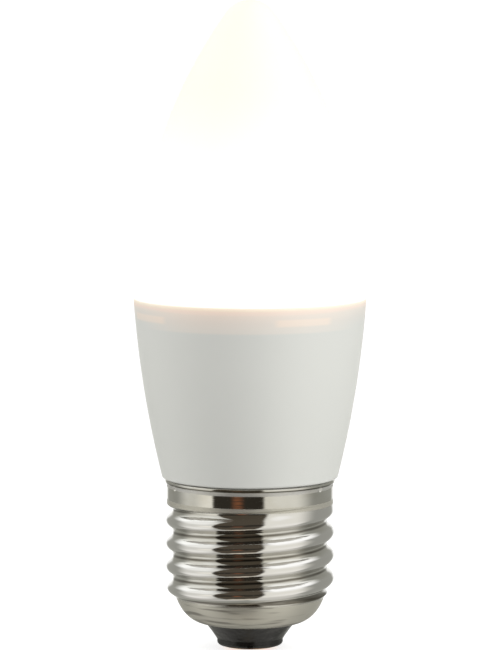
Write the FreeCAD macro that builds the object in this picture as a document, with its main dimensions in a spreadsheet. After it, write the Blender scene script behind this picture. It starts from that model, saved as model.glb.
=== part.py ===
import FreeCAD, Part
import math
import os

import Sketcher


# Driving sizes in millimetres. Heights are measured from the bottom of the centre contact,
# and angles are in degrees, turning from +X towards +Y as seen from above.
DRIVING_SIZES = {
    # Whole lamp
    "lamp_height": 101.25,
    "seam_height": 55.15,
    "slip_fit": 0.1,
    # Opal diffuser, a pointed candle form that snaps into the housing
    "diffuser_radius": 18.2,
    "widest_drop": 0.95,
    "diffuser_tip_radius": 4.55,
    "diffuser_wall": 1.1,
    "diffuser_shoulder": 1.6,
    "neck_depth": 2.5,
    "neck_wall": 1.0,
    "lug_height": 0.8,
    "lug_depth": 0.55,
    "lug_drop": 1.5,
    "lug_span": 30,
    "lug_count": 4,
    "lug_turn": 28,
    # Plastic housing with its neck inside the screw cap
    "seam_step": 0.08,
    "foot_overhang": 0.53,
    "foot_gap": 0.15,
    "housing_foot_round": 0.45,
    "housing_side_arc": 160,
    "housing_wall": 1.5,
    "rim_wall": 1.3,
    "rim_depth": 3.6,
    "recess_side_gap": 2,
    "cup_ledge": 0.5,
    "floor_thickness": 1.6,
    "spigot_length": 2.9,
    "stem_gap": 0.15,
    "stem_wall": 1.5,
    "stem_lift": 4.7,
    "guide_rib_depth": 1,
    "guide_rib_thickness": 0.8,
    "guide_gap": 0.05,
    "stake_groove_depth": 0.35,
    "stake_groove_width": 1.6,
    # Aluminium heat sink cup pressed into the housing
    "cup_wall": 0.9,
    "cup_hole_radius": 3,
    # Light board
    "board_margin": 1.02,
    "board_thickness": 1,
    "board_hole_radius": 2.6,
    "chip_count": 8,
    "chip_inset": 4.7,
    "chip_length": 3.5,
    "chip_width": 2.8,
    "chip_thickness": 0.7,
    # Rolled screw cap shell with its round thread
    "shell_wall": 0.3,
    "shell_height": 26.8,
    "shell_rim_height": 4.2,
    "bowl_width": 4.8,
    "bowl_depth": 6.9,
    "thread_crest_radius": 13.15,
    "thread_depth": 1.1,
    "thread_pitch": 3.629,
    "thread_rise": 3.1,
    "thread_turn": 160,
    "thread_lead_in": 0.6,
    "thread_run_out": 0.35,
    "crest_fade": 0.9,
    "collar_step": 0.18,
    "collar_height": 3.17,
    "flare_reach": 0.3,
    "flare_height": 1.2,
    "bead_height": 0.4,
    "bead_round": 0.15,
    "stake_count": 3,
    "stake_turn": 86.3,
    "stake_drop": 0.85,
    "stake_punch_radius": 0.55,
    "stake_set_back": 0.25,
    # Insulator, centre contact and contact pin
    "hollow_reach": 2.1,
    "insulator_lip_height": 1.7,
    "insulator_lip_round": 0.6,
    "insulator_foot_height": 0.55,
    "insulator_neck_step": 0.15,
    "insulator_hollow_arc": 25,
    "insulator_floor": 1.6,
    "insulator_wall": 1.3,
    "notch_span": 10,
    "notch_depth": 0.4,
    "notch_height": 0.55,
    "notch_turn": 270,
    "flange_gap": 1.1,
    "flange_arc": 4.2,
    "flange_rise": 3.6,
    "flange_edge": 0.4,
    "boss_radius": 2.4,
    "boss_height": 5,
    "lip_wall": 0.9,
    "contact_thickness": 0.4,
    "pin_head_radius": 1.9,
    "pin_head_height": 0.4,
    "pin_head_round": 0.25,
    "pin_radius": 0.8,
    "pin_stand": 2.4,
    # Driver board and its parts
    "driver_side_gap": 0.2,
    "driver_thickness": 1.2,
    "driver_length": 34.8,
    "driver_lift": 1.8,
    "driver_solder_gap": 0.05,
    "input_capacitor_radius": 4,
    "input_capacitor_length": 12,
    "input_capacitor_place": 21.3,
    "output_capacitor_radius": 2.5,
    "output_capacitor_length": 8,
    "output_capacitor_place": 11.3,
    "capacitor_round": 0.4,
    "crimp_place": 1.3,
    "crimp_width": 1,
    "crimp_arc": 0.8,
    "inductor_radius": 4,
    "inductor_length": 8,
    "inductor_place": 11.8,
    "inductor_flange": 1,
    "inductor_core_radius": 1.8,
    "inductor_winding_radius": 3.4,
    "rectifier_width": 4.7,
    "rectifier_length": 4,
    "rectifier_thickness": 1.6,
    "rectifier_place": 4.3,
    "driver_chip_width": 4.9,
    "driver_chip_length": 3.9,
    "driver_chip_thickness": 1.5,
    "driver_chip_place": 23.8,
    "resistor_radius": 1.5,
    "resistor_length": 7,
    "resistor_place": 1.4,
    "resistor_cap_length": 1.4,
    "resistor_waist": 0.2,
    "lead_radius": 0.3,
    "lead_bend": 0.9,
    "live_lead_step": 1.1,
    "neutral_lead_inset": 1.4,
    "neutral_lead_drop": 1.5,
    "neutral_lead_gap": 0.3,
    "board_lead_radius": 0.5,
    "board_lead_bend": 1.3,
    "board_lead_spread": 1.1,
    "board_lead_overlap": 4,
    "board_lead_reach": 5.2,
}

# Steps of the screw cap's curves: flats across one thread pitch, points along half a turn,
# and bands along the bowl, the flare and the bead.
FLATS_PER_PITCH = 6
POINTS_PER_HALF_TURN = 12
BOWL_BANDS = 6
FLARE_BANDS = 3
BEAD_BANDS = 2

doc = FreeCAD.newDocument("candle_lamp")
size_sheet = doc.addObject("Spreadsheet::Sheet", "size")
for row, (alias, number) in enumerate(DRIVING_SIZES.items(), start=1):
    size_sheet.set("A%d" % row, alias)
    size_sheet.set("B%d" % row, str(number))
    size_sheet.setAlias("B%d" % row, alias)
doc.recompute()

sub_parts = []


def amount(rule):
    """The number that a rule, written with the sheet's names, works out to."""
    return float(size_sheet.evalExpression(rule))


def keep(piece, label):
    """Names a finished sub-part and lists it for writing."""
    piece.Label = label
    sub_parts.append(piece)
    return piece


def new_body(name):
    return doc.addObject("PartDesign::Body", name + "_body")


def flat_sketch(body, name, role):
    """A sketch on one of the body's own origin planes."""
    sketch = body.newObject("Sketcher::SketchObject", name)
    plane = [feature for feature in body.Origin.OriginFeatures if feature.Role == role][0]
    sketch.AttachmentSupport = [(plane, "")]
    sketch.MapMode = "FlatFace"
    return sketch


def pin_point(sketch, geometry, vertex, rules):
    """Holds a sketch vertex at two rules, or on the axis where a rule is zero."""
    for kind, axis, rule in (("DistanceX", -2, rules[0]), ("DistanceY", -1, rules[1])):
        if rule == "0":
            sketch.addConstraint(Sketcher.Constraint("PointOnObject", geometry, vertex, axis))
            continue
        held = Sketcher.Constraint(kind, -1, 1, geometry, vertex, amount(rule))
        sketch.setExpression("Constraints[%d]" % sketch.addConstraint(held), rule)


def arc_between(start, end, radius, centre_side):
    """The short arc from start to end whose centre lies on the given side of the way."""
    chord = end - start
    middle = (start + end) * 0.5
    left = FreeCAD.Vector(-chord.y, chord.x, 0).normalize()
    rise = math.sqrt(radius ** 2 - (chord.Length / 2) ** 2)
    turn = 1 if centre_side == "left" else -1
    centre = middle + left * rise * turn
    first, last = (start, end) if turn > 0 else (end, start)
    angles = [math.atan2(point.y - centre.y, point.x - centre.x) for point in (first, last)]
    circle = Part.Circle(centre, FreeCAD.Vector(0, 0, 1), radius)
    return Part.ArcOfCircle(circle, angles[0], angles[1])


def draw_outline(sketch, corners, arcs):
    """Closes a loop through the corners; an arc replaces the side that starts at its corner."""
    points = [FreeCAD.Vector(amount(across), amount(up), 0) for across, up in corners]
    count = len(corners)
    ends = []
    for number in range(count):
        start, end = points[number], points[(number + 1) % count]
        if number in arcs:
            rule, side = arcs[number]
            geometry = sketch.addGeometry(arc_between(start, end, amount(rule), side))
            ends.append((geometry, 1, 2) if side == "left" else (geometry, 2, 1))
        else:
            geometry = sketch.addGeometry(Part.LineSegment(start, end))
            ends.append((geometry, 1, 2))
    for number in range(count):
        before, after = ends[number - 1], ends[number]
        sketch.addConstraint(
            Sketcher.Constraint("Coincident", before[0], before[2], after[0], after[1]))
        pin_point(sketch, after[0], after[1], corners[number])
    for number, (rule, side) in arcs.items():
        held = Sketcher.Constraint("Radius", ends[number][0], amount(rule))
        sketch.setExpression("Constraints[%d]" % sketch.addConstraint(held), rule)
    return sketch


def turned(body, name, corners, arcs=None, kind="PartDesign::Revolution", sweep="360"):
    """Turns an outline of (radius, height) rules about the lamp's axis."""
    sketch = draw_outline(flat_sketch(body, name + "_outline", "XZ_Plane"), corners, arcs or {})
    feature = body.newObject(kind, name)
    feature.Profile = sketch
    feature.ReferenceAxis = (sketch, ["V_Axis"])
    feature.setExpression("Angle", sweep)
    feature.Midplane = sweep != "360"
    return feature


def repeat_round(body, name, feature, count_rule):
    """Repeats a feature evenly about the lamp's axis."""
    pattern = body.newObject("PartDesign::PolarPattern", name)
    pattern.Originals = [feature]
    axis = [item for item in body.Origin.OriginFeatures if item.Role == "Z_Axis"][0]
    pattern.Axis = (axis, [""])
    pattern.Angle = 360
    pattern.setExpression("Occurrences", count_rule)
    body.Tip = pattern
    return pattern


def place(piece, rules):
    """Binds a piece's place to rules for x, y and z."""
    for letter, rule in zip("xyz", rules):
        piece.setExpression("Placement.Base." + letter, rule)


def block(name, width, depth, height, corner):
    """A rectangular block with its lowest corner at the given rules."""
    box = doc.addObject("Part::Box", name + "_block")
    box.setExpression("Length", width)
    box.setExpression("Width", depth)
    box.setExpression("Height", height)
    place(box, corner)
    return box


# Rules that several pieces share. The diffuser's side is one arc, widest just below the
# seam, and it runs smoothly into the round tip.
WIDEST_HEIGHT = "(size.seam_height - size.widest_drop)"
TIP_CENTRE_HEIGHT = "(size.lamp_height - size.diffuser_tip_radius)"
TIP_RISE = "(%s - %s)" % (TIP_CENTRE_HEIGHT, WIDEST_HEIGHT)
SIDE_ARC = ("((%s ^ 2 + size.diffuser_radius ^ 2 - size.diffuser_tip_radius ^ 2)"
            " / (2 * (size.diffuser_radius - size.diffuser_tip_radius)))" % TIP_RISE)
ARC_REACH = "(%s - size.diffuser_tip_radius)" % SIDE_ARC
ARC_OFFSET = "(%s - size.diffuser_radius)" % SIDE_ARC

# The screw cap's radii and heights follow its thread, its rim and its top edge.
THREAD_ROOT = "(size.thread_crest_radius - size.thread_depth)"
THREAD_START = "(size.shell_rim_height + size.thread_rise)"
THREAD_END = "(size.shell_height - size.collar_height)"
SHELL_RIM = "(%s - size.bowl_width)" % THREAD_ROOT
BOWL_TOP = "(size.shell_rim_height + size.bowl_depth)"
COLLAR_RADIUS = "(size.thread_crest_radius - size.collar_step)"
COLLAR_BORE = "(%s - size.shell_wall)" % COLLAR_RADIUS
STAKE_HEIGHT = "(size.shell_height - size.stake_drop)"

# The housing fits the cap at its foot and the diffuser at its top.
HOUSING_FOOT = "(size.shell_height + size.foot_gap)"
HOUSING_FOOT_RADIUS = "(%s + size.flare_reach + size.foot_overhang)" % COLLAR_RADIUS
HOUSING_TOP_RADIUS = "(size.diffuser_radius - size.seam_step)"
HOUSING_INNER_FOOT = "(%s - size.housing_wall)" % HOUSING_FOOT_RADIUS
HOUSING_FLOOR = "(%s + size.floor_thickness)" % HOUSING_FOOT
SPIGOT_RADIUS = "(%s - size.slip_fit)" % COLLAR_BORE
SPIGOT_FOOT = "(%s - size.spigot_length)" % HOUSING_FOOT
STEM_RADIUS = "(%s - size.shell_wall - size.stem_gap)" % THREAD_ROOT
STEM_FOOT = "(%s + size.stem_lift)" % THREAD_START
BORE_RADIUS = "(%s - size.stem_wall)" % STEM_RADIUS

# The housing's inner ledges, which the diffuser's neck, the cup and the light board use.
RIM_BORE = "(%s - size.rim_wall)" % HOUSING_TOP_RADIUS
LEDGE_HEIGHT = "(size.seam_height - size.rim_depth)"
CUP_SEAT_RADIUS = "(%s - size.cup_ledge)" % RIM_BORE
CUP_TOP_RADIUS = "(%s - size.slip_fit)" % CUP_SEAT_RADIUS
NECK_RADIUS = "(%s - size.slip_fit)" % RIM_BORE
NECK_INNER = "(%s - size.neck_wall)" % NECK_RADIUS
NECK_FOOT = "(size.seam_height - size.neck_depth)"
LUG_RADIUS = "(%s + size.lug_depth)" % NECK_RADIUS
LUG_MIDDLE = "(size.seam_height - size.lug_drop)"
BOARD_FOOT = LEDGE_HEIGHT
BOARD_TOP = "(%s + size.board_thickness)" % BOARD_FOOT
BOARD_RADIUS = "(%s - size.board_margin)" % CUP_TOP_RADIUS
CHIP_CIRCLE = "(%s - size.chip_inset)" % BOARD_RADIUS

# The insulator's lip and flange follow the shell that holds it, and the contact follows the lip.
LIP_RADIUS = "(%s - size.hollow_reach)" % SHELL_RIM
CONTACT_RADIUS = "(%s - size.lip_wall)" % LIP_RADIUS
FLANGE_RADIUS = "(%s - size.shell_wall - size.flange_gap)" % THREAD_ROOT
FLANGE_HEIGHT = "(size.shell_rim_height + size.flange_rise)"

# The driver board stands in the stem, clear of the pin, and its parts go by its foot.
PIN_TOP = "(size.boss_height + size.pin_stand)"
DRIVER_FOOT = "(%s + size.driver_lift)" % PIN_TOP
DRIVER_TOP = "(%s + size.driver_length)" % DRIVER_FOOT
DRIVER_SIDE = "(%s - size.driver_side_gap)" % BORE_RADIUS
FRONT_FACE = "(size.driver_thickness / 2 + size.driver_solder_gap)"


def side_radius(height, inset):
    """The diffuser's radius at a height, on a skin that lies a wall's share inside."""
    arc = "(%s - %s)" % (SIDE_ARC, inset)
    return "(sqrt(%s ^ 2 - (%s - %s) ^ 2) - %s)" % (arc, height, WIDEST_HEIGHT, ARC_OFFSET)


def tip_joint(inset):
    """Where the side arc meets the tip's arc, on the same skin."""
    radius = "(%s * (size.diffuser_tip_radius - %s) / %s)" % (ARC_OFFSET, inset, ARC_REACH)
    height = "(%s + %s * (%s - %s) / %s)" % (WIDEST_HEIGHT, TIP_RISE, SIDE_ARC, inset, ARC_REACH)
    return radius, height


def make_diffuser():
    """Moulded opal shell: candle form, a stepped neck below the seam, and four snap lugs."""
    body = new_body("diffuser")
    wall = "size.diffuser_wall"
    shoulder = "(size.seam_height + size.diffuser_shoulder)"
    corners = [
        (NECK_RADIUS, NECK_FOOT),
        (NECK_RADIUS, "size.seam_height"),
        (side_radius("size.seam_height", "0"), "size.seam_height"),
        tip_joint("0"),
        ("0", "size.lamp_height"),
        ("0", "size.lamp_height - %s" % wall),
        tip_joint(wall),
        (side_radius(shoulder, wall), shoulder),
        (NECK_INNER, "size.seam_height"),
        (NECK_INNER, NECK_FOOT),
    ]
    arcs = {
        2: (SIDE_ARC, "left"),
        3: ("size.diffuser_tip_radius", "left"),
        5: ("size.diffuser_tip_radius - %s" % wall, "right"),
        6: ("%s - %s" % (SIDE_ARC, wall), "right"),
    }
    turned(body, "diffuser_shell", corners, arcs)
    low, high = "%s - size.lug_height / 2" % LUG_MIDDLE, "%s + size.lug_height / 2" % LUG_MIDDLE
    root = "%s - size.neck_wall / 2" % NECK_RADIUS
    lug = turned(body, "snap_lug", [
        (root, low), (NECK_RADIUS, low), (LUG_RADIUS, LUG_MIDDLE), (NECK_RADIUS, high),
        (root, high),
    ], sweep="size.lug_span")
    repeat_round(body, "snap_lugs", lug, "size.lug_count")
    body.setExpression("Placement.Rotation.Angle", "size.lug_turn")
    return keep(body, "diffuser")


def make_housing():
    """Moulded white housing: bowed outside, stepped rim, and a stem that fills the screw cap."""
    body = new_body("housing")
    foot_round = "size.housing_foot_round"
    groove_low = "%s - size.stake_groove_width / 2" % STAKE_HEIGHT
    groove_high = "%s + size.stake_groove_width / 2" % STAKE_HEIGHT
    groove = "%s - size.stake_groove_depth" % SPIGOT_RADIUS
    corners = [
        (RIM_BORE, "size.seam_height"),
        (RIM_BORE, LEDGE_HEIGHT),
        (CUP_SEAT_RADIUS, LEDGE_HEIGHT),
        (HOUSING_INNER_FOOT, HOUSING_FLOOR),
        (BORE_RADIUS, HOUSING_FLOOR),
        (BORE_RADIUS, STEM_FOOT),
        (STEM_RADIUS, STEM_FOOT),
        (STEM_RADIUS, SPIGOT_FOOT),
        (SPIGOT_RADIUS, SPIGOT_FOOT),
        (SPIGOT_RADIUS, groove_low),
        (groove, groove_low),
        (groove, groove_high),
        (SPIGOT_RADIUS, groove_high),
        (SPIGOT_RADIUS, HOUSING_FOOT),
        ("%s - %s" % (HOUSING_FOOT_RADIUS, foot_round), HOUSING_FOOT),
        (HOUSING_FOOT_RADIUS, "%s + %s" % (HOUSING_FOOT, foot_round)),
        (HOUSING_TOP_RADIUS, "size.seam_height"),
    ]
    arcs = {
        2: ("size.housing_side_arc - size.housing_wall", "right"),
        14: (foot_round, "left"),
        15: ("size.housing_side_arc", "left"),
    }
    turned(body, "housing_shell", corners, arcs)
    add_guide_ribs(body)
    half = "(size.lug_height / 2 + size.slip_fit)"
    inner = "%s - size.slip_fit" % RIM_BORE
    outer = "%s + size.slip_fit" % LUG_RADIUS
    window = turned(body, "snap_recess", [
        (inner, "%s - %s" % (LUG_MIDDLE, half)), (outer, "%s - %s" % (LUG_MIDDLE, half)),
        (outer, "%s + %s" % (LUG_MIDDLE, half)), (inner, "%s + %s" % (LUG_MIDDLE, half)),
    ], kind="PartDesign::Groove", sweep="size.lug_span + 2 * size.recess_side_gap")
    repeat_round(body, "snap_recesses", window, "size.lug_count")
    body.setExpression("Placement.Rotation.Angle", "size.lug_turn")
    return keep(body, "housing")


def add_guide_ribs(body):
    """Two pairs of upright ribs in the stem's bore, with the driver board's edges between."""
    near = "(size.driver_thickness / 2 + size.guide_gap)"
    far = "(%s + size.guide_rib_thickness)" % near
    tip = "(%s - size.guide_rib_depth)" % BORE_RADIUS
    root = "(%s + size.stem_wall / 2)" % BORE_RADIUS
    for number, (across, along) in enumerate((("", ""), ("", "-"), ("-", ""), ("-", "-"))):
        sketch = flat_sketch(body, "guide_rib_outline_%d" % (number + 1), "XY_Plane")
        sketch.setExpression("AttachmentOffset.Base.z", STEM_FOOT)
        sketch.setExpression("AttachmentOffset.Rotation.Angle", "-size.lug_turn")
        draw_outline(sketch, [
            (across + tip, along + near), (across + root, along + near),
            (across + root, along + far), (across + tip, along + far),
        ], {})
        rib = body.newObject("PartDesign::Pad", "guide_rib_%d" % (number + 1))
        rib.Profile = sketch
        rib.setExpression("Length", "%s - %s" % (HOUSING_FLOOR, STEM_FOOT))
        body.Tip = rib


def make_heat_sink_cup():
    """Pressed aluminium cup, upside down, whose flat top carries the light board."""
    body = new_body("heat_sink_cup")
    under = "(%s - size.cup_wall)" % LEDGE_HEIGHT
    foot_radius = "(%s - size.slip_fit)" % HOUSING_INNER_FOOT
    corners = [
        ("size.cup_hole_radius", under),
        ("%s - size.cup_wall" % CUP_TOP_RADIUS, under),
        ("%s - size.cup_wall" % foot_radius, HOUSING_FLOOR),
        (foot_radius, HOUSING_FLOOR),
        (CUP_TOP_RADIUS, LEDGE_HEIGHT),
        ("size.cup_hole_radius", LEDGE_HEIGHT),
    ]
    arcs = {
        1: ("size.housing_side_arc - size.housing_wall - size.cup_wall", "right"),
        3: ("size.housing_side_arc - size.housing_wall", "left"),
    }
    turned(body, "pressed_cup", corners, arcs)
    return keep(body, "heat_sink_cup")


def make_light_board():
    """Aluminium-backed round board with a wire hole at its centre."""
    body = new_body("led_board")
    turned(body, "board_disc", [
        ("size.board_hole_radius", BOARD_FOOT), (BOARD_RADIUS, BOARD_FOOT),
        (BOARD_RADIUS, BOARD_TOP), ("size.board_hole_radius", BOARD_TOP),
    ])
    return keep(body, "led_board")


def make_light_chips():
    """Ring of light chips, each with its long side along the ring."""
    for number in range(int(amount("size.chip_count"))):
        angle = "(%d * 360 / size.chip_count)" % number
        name = "led_chip_%d" % (number + 1)
        chip = block(name, "size.chip_width", "size.chip_length", "size.chip_thickness",
                     ("0", "0", BOARD_TOP))
        reach = "(%s - size.chip_width / 2)" % CHIP_CIRCLE
        side = "size.chip_length / 2"
        chip.setExpression("Placement.Base.x", "%s * cos(%s) + %s * sin(%s)" % (
            reach, angle, side, angle))
        chip.setExpression("Placement.Base.y", "%s * sin(%s) - %s * cos(%s)" % (
            reach, angle, side, angle))
        chip.Placement.Rotation = FreeCAD.Rotation(FreeCAD.Vector(0, 0, 1), amount(angle))
        keep(chip, name)


def smooth_step(share):
    share = min(max(share, 0), 1)
    return share * share * (3 - 2 * share)


def thread_swell(share):
    """Share of the thread's depth that its round crowns and hollows reach, over one pitch."""
    half_pitch = amount("size.thread_pitch") / 2
    depth = amount("size.thread_depth")
    arc = half_pitch / (2 * math.sin(2 * math.atan(depth / half_pitch)))
    from_crest = abs(share - 0.5) * 2 * half_pitch
    if from_crest <= half_pitch / 2:
        return (depth - arc + math.sqrt(arc ** 2 - from_crest ** 2)) / depth
    return (arc - math.sqrt(arc ** 2 - (half_pitch - from_crest) ** 2)) / depth


def bowl_axes(inset):
    """Half width and half height of the quarter ellipse that closes the shell's foot."""
    return amount("size.bowl_width") - inset, amount("size.bowl_depth") - inset


def bowl_radius(height, inset):
    width, depth = bowl_axes(inset)
    below_top = max(amount(BOWL_TOP) - height, 0) / depth
    return amount(SHELL_RIM) + width * math.sqrt(1 - below_top ** 2)


def winding_turns():
    """Turns from the first point of the thread's band to its last."""
    rise = amount("%s - %s" % (THREAD_END, THREAD_START))
    return 1 + rise / amount("size.thread_pitch")


def winding_height(turns):
    """The thread's root line: level for its first turn, then rising, then level again."""
    low, high = amount(THREAD_START), amount(THREAD_END)
    return min(max(low + amount("size.thread_pitch") * (turns - 1), low), high)


def thread_point(turns, share, inset):
    """Point on the threaded skin, a share of the way from one root line to the next.

    The last root line runs out into the collar, and the crown above it sinks to the collar.
    """
    low, high = winding_height(turns), winding_height(turns + 1)
    height = low + share * (high - low)
    along = turns + share
    grown = smooth_step((along - 1) / amount("size.thread_lead_in"))
    sunk = 1 - smooth_step((winding_turns() - along) / amount("size.crest_fade"))
    root_line = turns if share < 0.5 else turns + 1
    cut = smooth_step((winding_turns() - root_line) / amount("size.thread_run_out"))
    crown = amount("size.thread_depth") - amount("size.collar_step") * sunk
    swell = 1 - (1 - thread_swell(share)) * cut
    radius = bowl_radius(height, inset) + crown * swell * grown
    return round_point(turns, radius, height)


def round_point(turns, radius, height):
    angle = math.radians(amount("size.thread_turn") + 360 * turns)
    return FreeCAD.Vector(radius * math.cos(angle), radius * math.sin(angle), height)


def winding_stops():
    """Whole turns counted from either end, so that neighbouring bands share their edges."""
    turns = winding_turns()
    stops = [float(number) for number in range(int(turns) + 1)]
    for number in range(int(turns) + 1):
        if min(abs(turns - number - stop) for stop in stops) > 0.001:
            stops.append(turns - number)
    return sorted(stops)


def band_face(low_points, high_points):
    """Ruled face between two smooth curves through the same number of points."""
    steps = [float(number) for number in range(len(low_points))]
    curves = []
    for points in (low_points, high_points):
        curve = Part.BSplineCurve()
        curve.interpolate(Points=points, Parameters=steps)
        curves.append(curve)
    poles = [list(pair) for pair in zip(curves[0].getPoles(), curves[1].getPoles())]
    surface = Part.BSplineSurface()
    surface.buildFromPolesMultsKnots(
        poles, curves[0].getMultiplicities(), [2, 2], curves[0].getKnots(), [0, 1],
        False, False, curves[0].Degree, 1)
    return surface.toShape()


def spaced(start, end):
    step = (end - start) / POINTS_PER_HALF_TURN
    return [start + step * number for number in range(POINTS_PER_HALF_TURN + 1)]


def ring_bands(profile, first_turn):
    """Bands of one full turn between the corners of a profile of (radius, height)."""
    stops = [stop for stop in winding_stops() if 0 <= stop - first_turn + 0.0001 <= 1.0002]
    faces = []
    for start, end in zip(stops, stops[1:]):
        rows = [[round_point(turns, *corner) for turns in spaced(start, end)]
                for corner in profile]
        faces += [band_face(low, high) for low, high in zip(rows, rows[1:])]
    return faces


def thread_bands(inset):
    """Helical bands, one for each flat of the thread's profile and each stop to the next."""
    faces = []
    stops = winding_stops()
    shares = [number / FLATS_PER_PITCH for number in range(FLATS_PER_PITCH + 1)]
    for start, end in zip(stops, stops[1:]):
        rows = [[thread_point(turns, share, inset) for turns in spaced(start, end)]
                for share in shares]
        faces += [band_face(low, high) for low, high in zip(rows, rows[1:])]
    return faces


def bowl_profile(inset):
    """Corners along the shell's bowl, from its rim at the insulator up to the thread."""
    width, depth = bowl_axes(inset)
    rim, top = amount(SHELL_RIM), amount(BOWL_TOP)
    last = math.acos((top - amount(THREAD_START)) / depth)
    angles = [last * number / BOWL_BANDS for number in range(BOWL_BANDS + 1)]
    return [(rim + width * math.sin(angle), top - depth * math.cos(angle)) for angle in angles]


def flare_profile(inset):
    """Corners along the collar, the slight flare above it and the bead at the top edge."""
    collar = amount(COLLAR_RADIUS) - inset
    reach = collar + amount("size.flare_reach")
    bead = amount("size.bead_height")
    bead_foot = amount("size.shell_height") - bead
    rise = amount("size.flare_height") - bead
    corners = [(collar, amount(THREAD_END))]
    for number in range(FLARE_BANDS + 1):
        share = number / FLARE_BANDS
        corners.append((collar + (reach - collar) * share ** 2, bead_foot - rise * (1 - share)))
    for number in range(1, BEAD_BANDS + 1):
        share = number / BEAD_BANDS
        corners.append((reach - amount("size.bead_round") * share ** 2, bead_foot + bead * share))
    return corners


def make_screw_shell():
    """Thin shell rolled from sheet metal, with the same thread on its inside and outside."""
    wall = amount("size.shell_wall")
    last_turn = winding_turns() - 1
    outside = [bowl_profile(0), flare_profile(0)]
    inside = [bowl_profile(wall), flare_profile(wall)]
    faces = ring_bands([inside[0][0], outside[0][0]], 0)
    faces += ring_bands([outside[1][-1], inside[1][-1]], last_turn)
    for skin, inset in ((outside, 0), (inside, wall)):
        faces += ring_bands(skin[0], 0)
        faces += thread_bands(inset)
        faces += ring_bands(skin[1], last_turn)
    sheet_skin = Part.makeShell(faces)
    sheet_skin.sewShape()
    shell = Part.makeSolid(sheet_skin)
    if shell.Volume < 0:
        shell.reverse()
    height, collar = amount(STAKE_HEIGHT), amount(COLLAR_RADIUS)
    punch = amount("size.stake_punch_radius")
    far = collar + amount("size.stake_set_back")
    liner = Part.makeCylinder(
        collar - wall / 2, 2 * (punch + wall), FreeCAD.Vector(0, 0, height - punch - wall))
    for number in range(int(amount("size.stake_count"))):
        angle = math.radians(amount("size.stake_turn") + 360 * number / amount("size.stake_count"))
        middle = FreeCAD.Vector(far * math.cos(angle), far * math.sin(angle), height)
        bump = Part.makeSphere(punch + wall, middle).common(liner)
        shell = shell.fuse(bump).cut(Part.makeSphere(punch, middle))
    piece = doc.addObject("Part::Feature", "rolled_shell")
    piece.Shape = shell
    return keep(piece, "screw_shell")


def make_insulator():
    """Black moulded ring: a flange inside the shell, a hollow cone below it, and a lip."""
    body = new_body("insulator")
    hole = "(size.pin_radius + size.slip_fit)"
    pocket = "(size.pin_head_height + size.contact_thickness)"
    pocket_radius = "(%s + size.slip_fit)" % CONTACT_RADIUS
    floor = "(%s + size.insulator_floor)" % pocket
    seat = "(size.shell_rim_height + size.shell_wall + size.slip_fit)"
    foot, lip_round = "size.insulator_foot_height", "size.insulator_lip_round"
    corners = [
        (hole, pocket),
        (pocket_radius, pocket),
        (pocket_radius, foot),
        ("%s - %s" % (LIP_RADIUS, lip_round), foot),
        (LIP_RADIUS, "%s + %s" % (foot, lip_round)),
        (LIP_RADIUS, "size.insulator_lip_height"),
        ("%s + size.insulator_neck_step" % LIP_RADIUS, "size.insulator_lip_height"),
        ("%s - size.slip_fit" % SHELL_RIM, "size.shell_rim_height"),
        ("%s - size.slip_fit" % SHELL_RIM, seat),
        (FLANGE_RADIUS, "%s - size.flange_edge" % FLANGE_HEIGHT),
        (FLANGE_RADIUS, FLANGE_HEIGHT),
        ("%s - size.insulator_wall" % FLANGE_RADIUS, FLANGE_HEIGHT),
        ("%s - size.insulator_wall" % LIP_RADIUS, floor),
        ("size.boss_radius", floor),
        ("size.boss_radius", "size.boss_height"),
        (hole, "size.boss_height"),
    ]
    arcs = {
        3: (lip_round, "left"),
        6: ("size.insulator_hollow_arc", "right"),
        8: ("size.flange_arc", "left"),
    }
    turned(body, "insulator_ring", corners, arcs)
    notch_root = "(%s - size.notch_depth)" % LIP_RADIUS
    notch_mouth = "(%s + size.slip_fit)" % LIP_RADIUS
    notch_low, notch_high = foot + " - size.slip_fit", foot + " + size.notch_height"
    notch = turned(body, "lip_notch", [
        (notch_root, notch_low), (notch_mouth, notch_low), (notch_mouth, notch_high),
        (notch_root, notch_high),
    ], kind="PartDesign::Groove", sweep="size.notch_span")
    body.Tip = notch
    body.setExpression("Placement.Rotation.Angle", "size.notch_turn")
    return keep(body, "insulator")


def make_contact_plate():
    """Flat disc let into the insulator's foot, under the pin's head."""
    body = new_body("contact_plate")
    low = "size.pin_head_height"
    high = "size.pin_head_height + size.contact_thickness"
    hole = "size.pin_radius + size.slip_fit"
    turned(body, "contact_disc", [
        (hole, low), (CONTACT_RADIUS, low), (CONTACT_RADIUS, high), (hole, high),
    ])
    return keep(body, "contact_plate")


def make_contact_pin():
    """Nail whose head is the lamp's centre contact and whose shank carries the live lead."""
    body = new_body("contact_pin")
    head_round = "size.pin_head_round"
    turned(body, "contact_nail", [
        ("0", "0"),
        ("size.pin_head_radius - %s" % head_round, "0"),
        ("size.pin_head_radius", head_round),
        ("size.pin_head_radius", "size.pin_head_height"),
        ("size.pin_radius", "size.pin_head_height"),
        ("size.pin_radius", PIN_TOP),
        ("0", PIN_TOP),
    ], {1: (head_round, "left")})
    return keep(body, "contact_pin")


def make_can(name):
    """Round can standing on its foot, with a rolled crimp near its foot and a rounded top."""
    body = new_body(name)
    radius, length = "size.%s_radius" % name, "size.%s_length" % name
    edge = "size.capacitor_round"
    turned(body, name + "_can", [
        ("0", "0"), (radius, "0"), (radius, "size.crimp_place - size.crimp_width / 2"),
        (radius, "size.crimp_place + size.crimp_width / 2"),
        (radius, "%s - %s" % (length, edge)), ("%s - %s" % (radius, edge), length),
        ("0", length),
    ], {2: ("size.crimp_arc", "right"), 4: (edge, "left")})
    place(body, ("0", "-(%s + %s)" % (FRONT_FACE, radius),
                 "%s + size.%s_place" % (DRIVER_FOOT, name)))
    return keep(body, name)


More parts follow.
